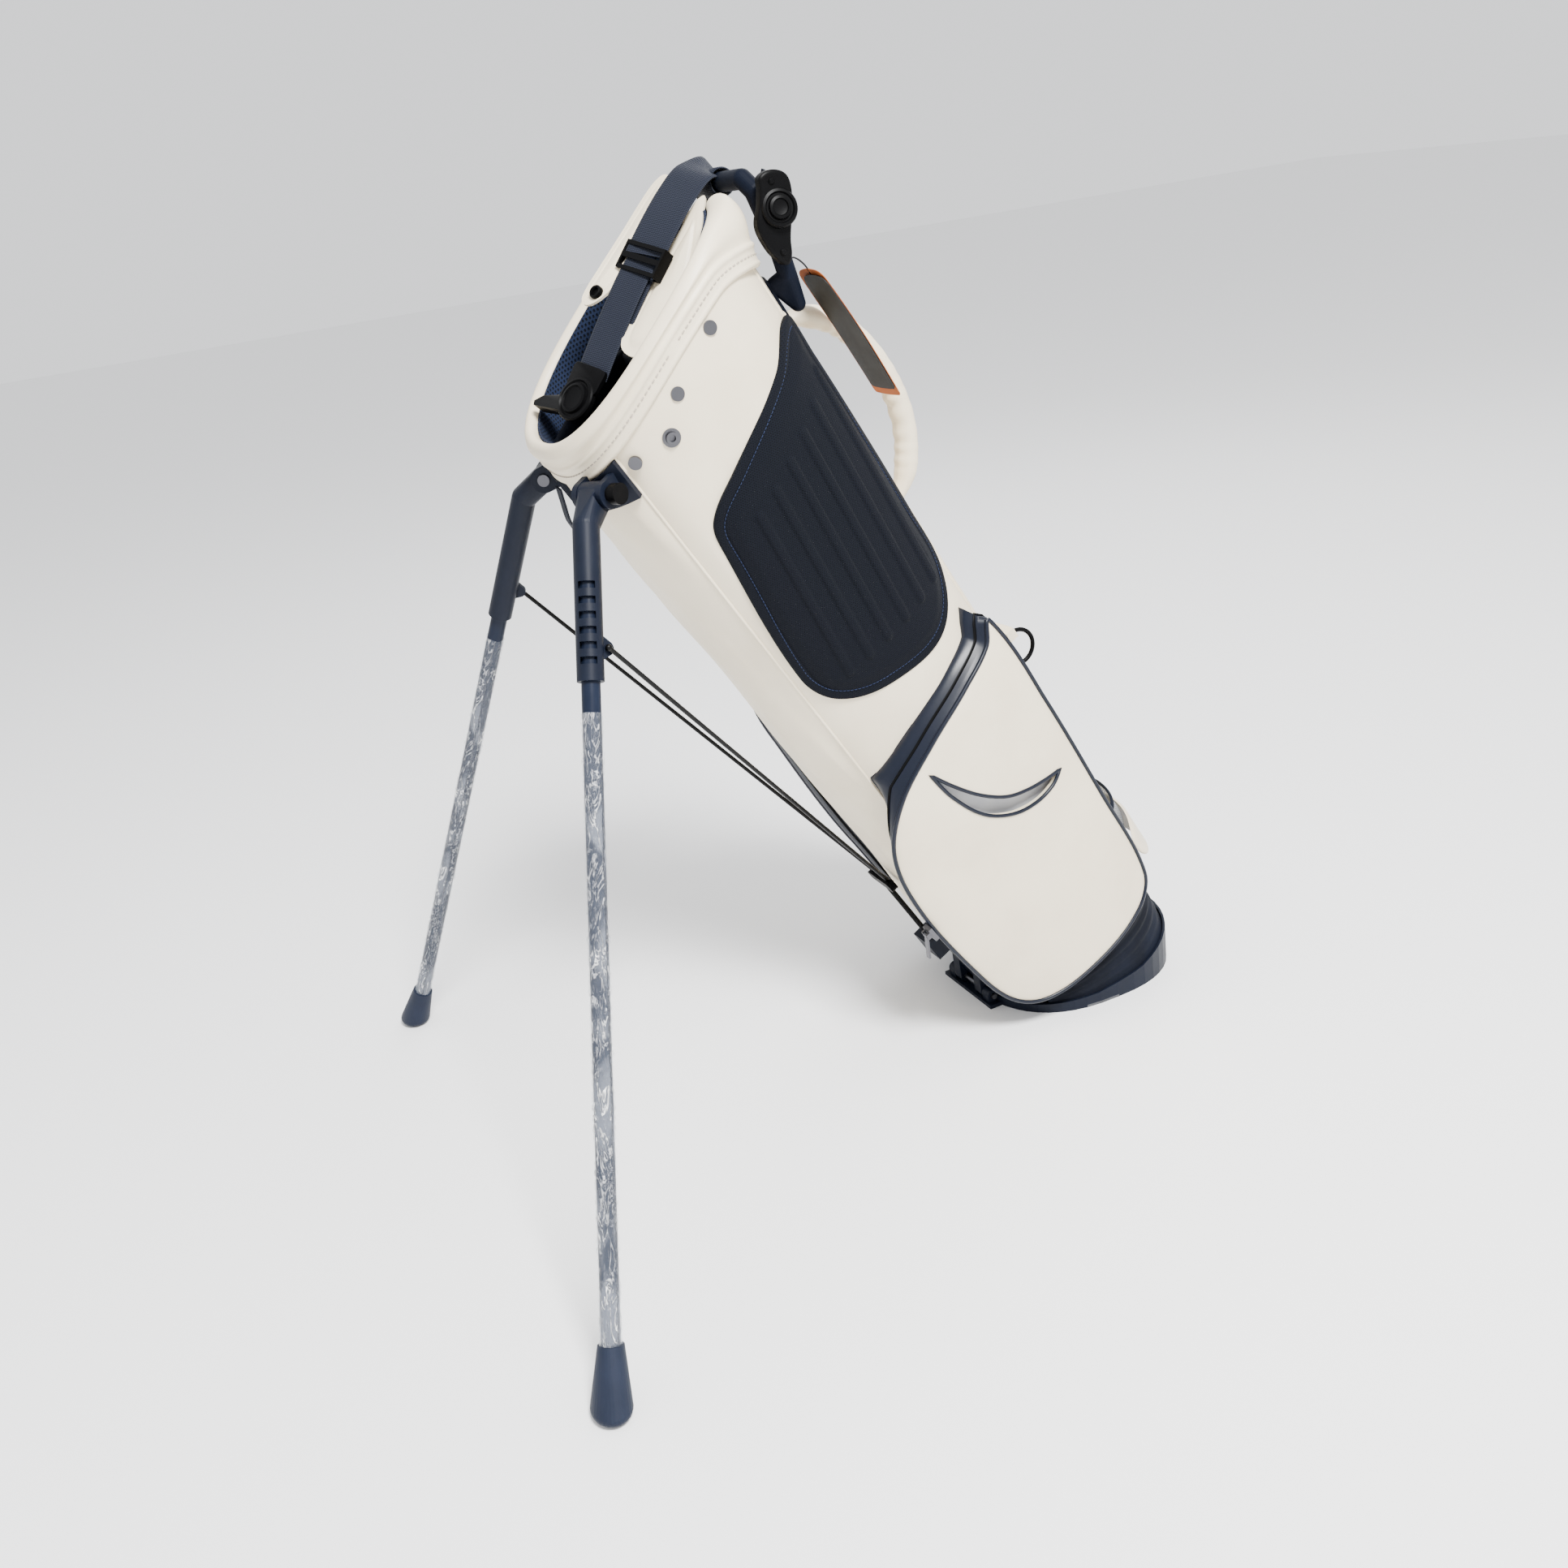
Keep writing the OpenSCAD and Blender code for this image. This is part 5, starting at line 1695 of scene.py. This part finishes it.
NODE_FINISH: dict[str, Finish] = {
    "base_shell": Finish.NAVY_PLASTIC, "main_sleeve": Finish.NAVY_CLOTH, "stay_rods": Finish.GLASS_FIBRE,
    "top_handle": Finish.HANDLE_PLASTIC, "left_bracket": Finish.NAVY_PLASTIC, "right_bracket": Finish.NAVY_PLASTIC,
    "pivot_pins": Finish.GUNMETAL, "pivot_knobs": Finish.BLACK_PLASTIC, "tri_glide": Finish.BLACK_PLASTIC,
    "front_clip_arm": Finish.BLACK_PLASTIC, "rear_clip": Finish.BLACK_PLASTIC, "rear_webbing": Finish.NAVY_CLOTH,
    "rivets": Finish.GUNMETAL, "snap_studs": Finish.GUNMETAL, "ring_tab": Finish.IVORY,
    "towel_ring": Finish.BLACK_PLASTIC, "rod_guide": Finish.NAVY_PLASTIC, "hinge_pin": Finish.GUNMETAL,
    "base_foot": Finish.NAVY_PLASTIC, "foot_soles": Finish.SOLE_RUBBER,
    "left_knuckle": Finish.NAVY_PLASTIC, "left_tube": Finish.NAVY_TUBE, "left_foot": Finish.NAVY_RUBBER,
    "right_knuckle": Finish.NAVY_PLASTIC, "right_tube": Finish.NAVY_TUBE, "right_foot": Finish.NAVY_RUBBER,
    "push_rod": Finish.BLACK_PLASTIC, "left_wire": Finish.BLACK_WIRE, "right_wire": Finish.BLACK_WIRE,
    "zip_slider": Finish.GUNMETAL, "zip_pull": Finish.GUNMETAL,
}


def dress_frame(nodes: dict[str, bpy.types.Object]) -> None:
    """Give the frame's own nodes their finishes.

    Args:
        nodes: The frame's nodes by name.
    """
    for name, finish in NODE_FINISH.items():
        obj = nodes[name]
        obj.data.materials.clear()
        obj.data.materials.append(material(finish))


# --------------------------------------------------------------------------- studio


@dataclass(frozen=True)
class Studio:
    """Pale floor, soft lights and the camera."""

    eye: tuple[float, float, float] = (1.2616, -0.7137, 0.8820)
    azimuth: float = 67.6
    elevation: float = 22.6
    roll: float = -8.5
    lens: float = 33.75
    sensor: float = 36.0

    def camera(self) -> None:
        """Make the camera."""
        az, el, ro = (math.radians(v) for v in (self.azimuth, self.elevation, self.roll))
        back = Vector((math.sin(az) * math.cos(el), -math.cos(az) * math.cos(el), math.sin(el)))
        right = Vector((math.cos(az), math.sin(az), 0))
        up = back.cross(right)
        turned_right = right * math.cos(ro) + up * math.sin(ro)
        turned_up = up * math.cos(ro) - right * math.sin(ro)
        data = bpy.data.cameras.new("camera")
        data.lens, data.sensor_width = self.lens, self.sensor
        data.clip_end = 50
        cam = bpy.data.objects.new("camera", data)
        bpy.context.scene.collection.objects.link(cam)
        cam.matrix_world = Matrix.Translation(self.eye) @ Matrix((turned_right, turned_up,
                                                                  back)).transposed().to_4x4()
        bpy.context.scene.camera = cam

    def light(self, name: str, at: tuple[float, float, float], size: float, power: float) -> None:
        """Add a square soft light that looks at the bag.

        Args:
            name: Name of the light.
            at: Its place.
            size: Length of its side.
            power: Its power in watts.
        """
        data = bpy.data.lights.new(name, "AREA")
        data.size, data.energy = size, power
        lamp = bpy.data.objects.new(name, data)
        lamp.location = at
        lamp.rotation_euler = (Vector((0, -0.2, 0.45)) - Vector(at)).to_track_quat("-Z", "Y").to_euler()
        bpy.context.scene.collection.objects.link(lamp)

    def floor(self) -> None:
        """Make the floor and the pale surroundings."""
        bpy.ops.mesh.primitive_plane_add(size=30, location=(0, 0, 0))
        plane = bpy.context.object
        plane.name = "studio_floor"
        g = Graph("studio_floor")
        plane.data.materials.append(g.finish({"Base Color": (0.9, 0.9, 0.9, 1), "Roughness": 0.9}))
        world = bpy.data.worlds.new("studio")
        bpy.context.scene.world = world
        world.use_nodes = True
        world.node_tree.nodes["Background"].inputs[0].default_value = (0.95, 0.96, 0.98, 1)
        world.node_tree.nodes["Background"].inputs[1].default_value = 1.35

    def build(self) -> None:
        """Make the studio."""
        self.floor()
        self.light("key", (1.9, -0.2, 2.9), 0.8, 300)
        self.light("fill", (2.6, 0.9, 1.2), 2.4, 14)
        self.light("rim", (-1.8, 1.4, 2.4), 1.4, 30)


def main() -> None:
    """Build the bag around its frame."""
    logging.basicConfig(level=logging.INFO, format="%(message)s")
    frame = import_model()
    Studio().camera()
    dress_frame(frame["nodes"])
    BodySkins().build()
    Cuff().build()
    Dividers().build()
    HipPad().build()
    SlitPocket(
        "left",
        ((90, 414), (72, 398), (30, 386), (-30, 369), (-86, 342), (-124, 297), (-138, 224), (-134, 120),
         (-122, 56),
         (-96, 27), (-38, 17), (46, 24), (76, 50), (84, 170), (91, 300)),
        132.0, -15.0, 17.0, 115.0, 1, 15.0, 17, ("left_pocket_panel", "left_pocket_gusset"),
    ).build()
    SidePocket(
        "right",
        ((80, 440), (30, 446), (-50, 440), (-92, 405), (-104, 330), (-108, 180), (-90, 60), (-20, 34), (60,
                                                                                                        40),
         (84, 90), (90, 240), (92, 370)),
        158.0, -8.0, 24.0, 100.0, -1, 9.0, 19, ("right_pocket_panel", "right_pocket_gusset"),
    ).build()
    GrabHandle().build()
    ShoulderPad(
        "shoulder_pad_tall", "shoulder_pad_left", (20.0, 50.5, 821.5), (-0.136, 0.929, 0.343), (0.815, 0.295,
                                                                                                -0.507),
        ((84, -3), (66, 5), (34, 15), (0, 23), (-34, 24), (-58, 16), (-68, 0), (-60, -16), (-30, -20), (10,
                                                                                                        -18),
         (50, -12)), 10.0,
    ).build()
    ShoulderPad(
        "shoulder_pad_low", "shoulder_pad_right", (-34.0, 56.0, 857.0), (-0.03, 0.968, 0.25), (0.93, 0.1,
                                                                                               -0.36),
        ((74, 0), (62, 12), (10, 17), (-22, 18), (-42, 14), (-57, 6), (-60, -4), (-52, -12), (-26, -16), (12,
                                                                                                          -17),
         (52, -15), (70, -9)), 9.0,
    ).build()
    PadEyelet().build()
    CarryingStrap().build()
    HangTags().build()
    RearPouch().build()
    BaseSkirt().build()
    LegFilm().build()
    LegStrap().build()
    Studio().build()


if __name__ == "__main__":
    main()
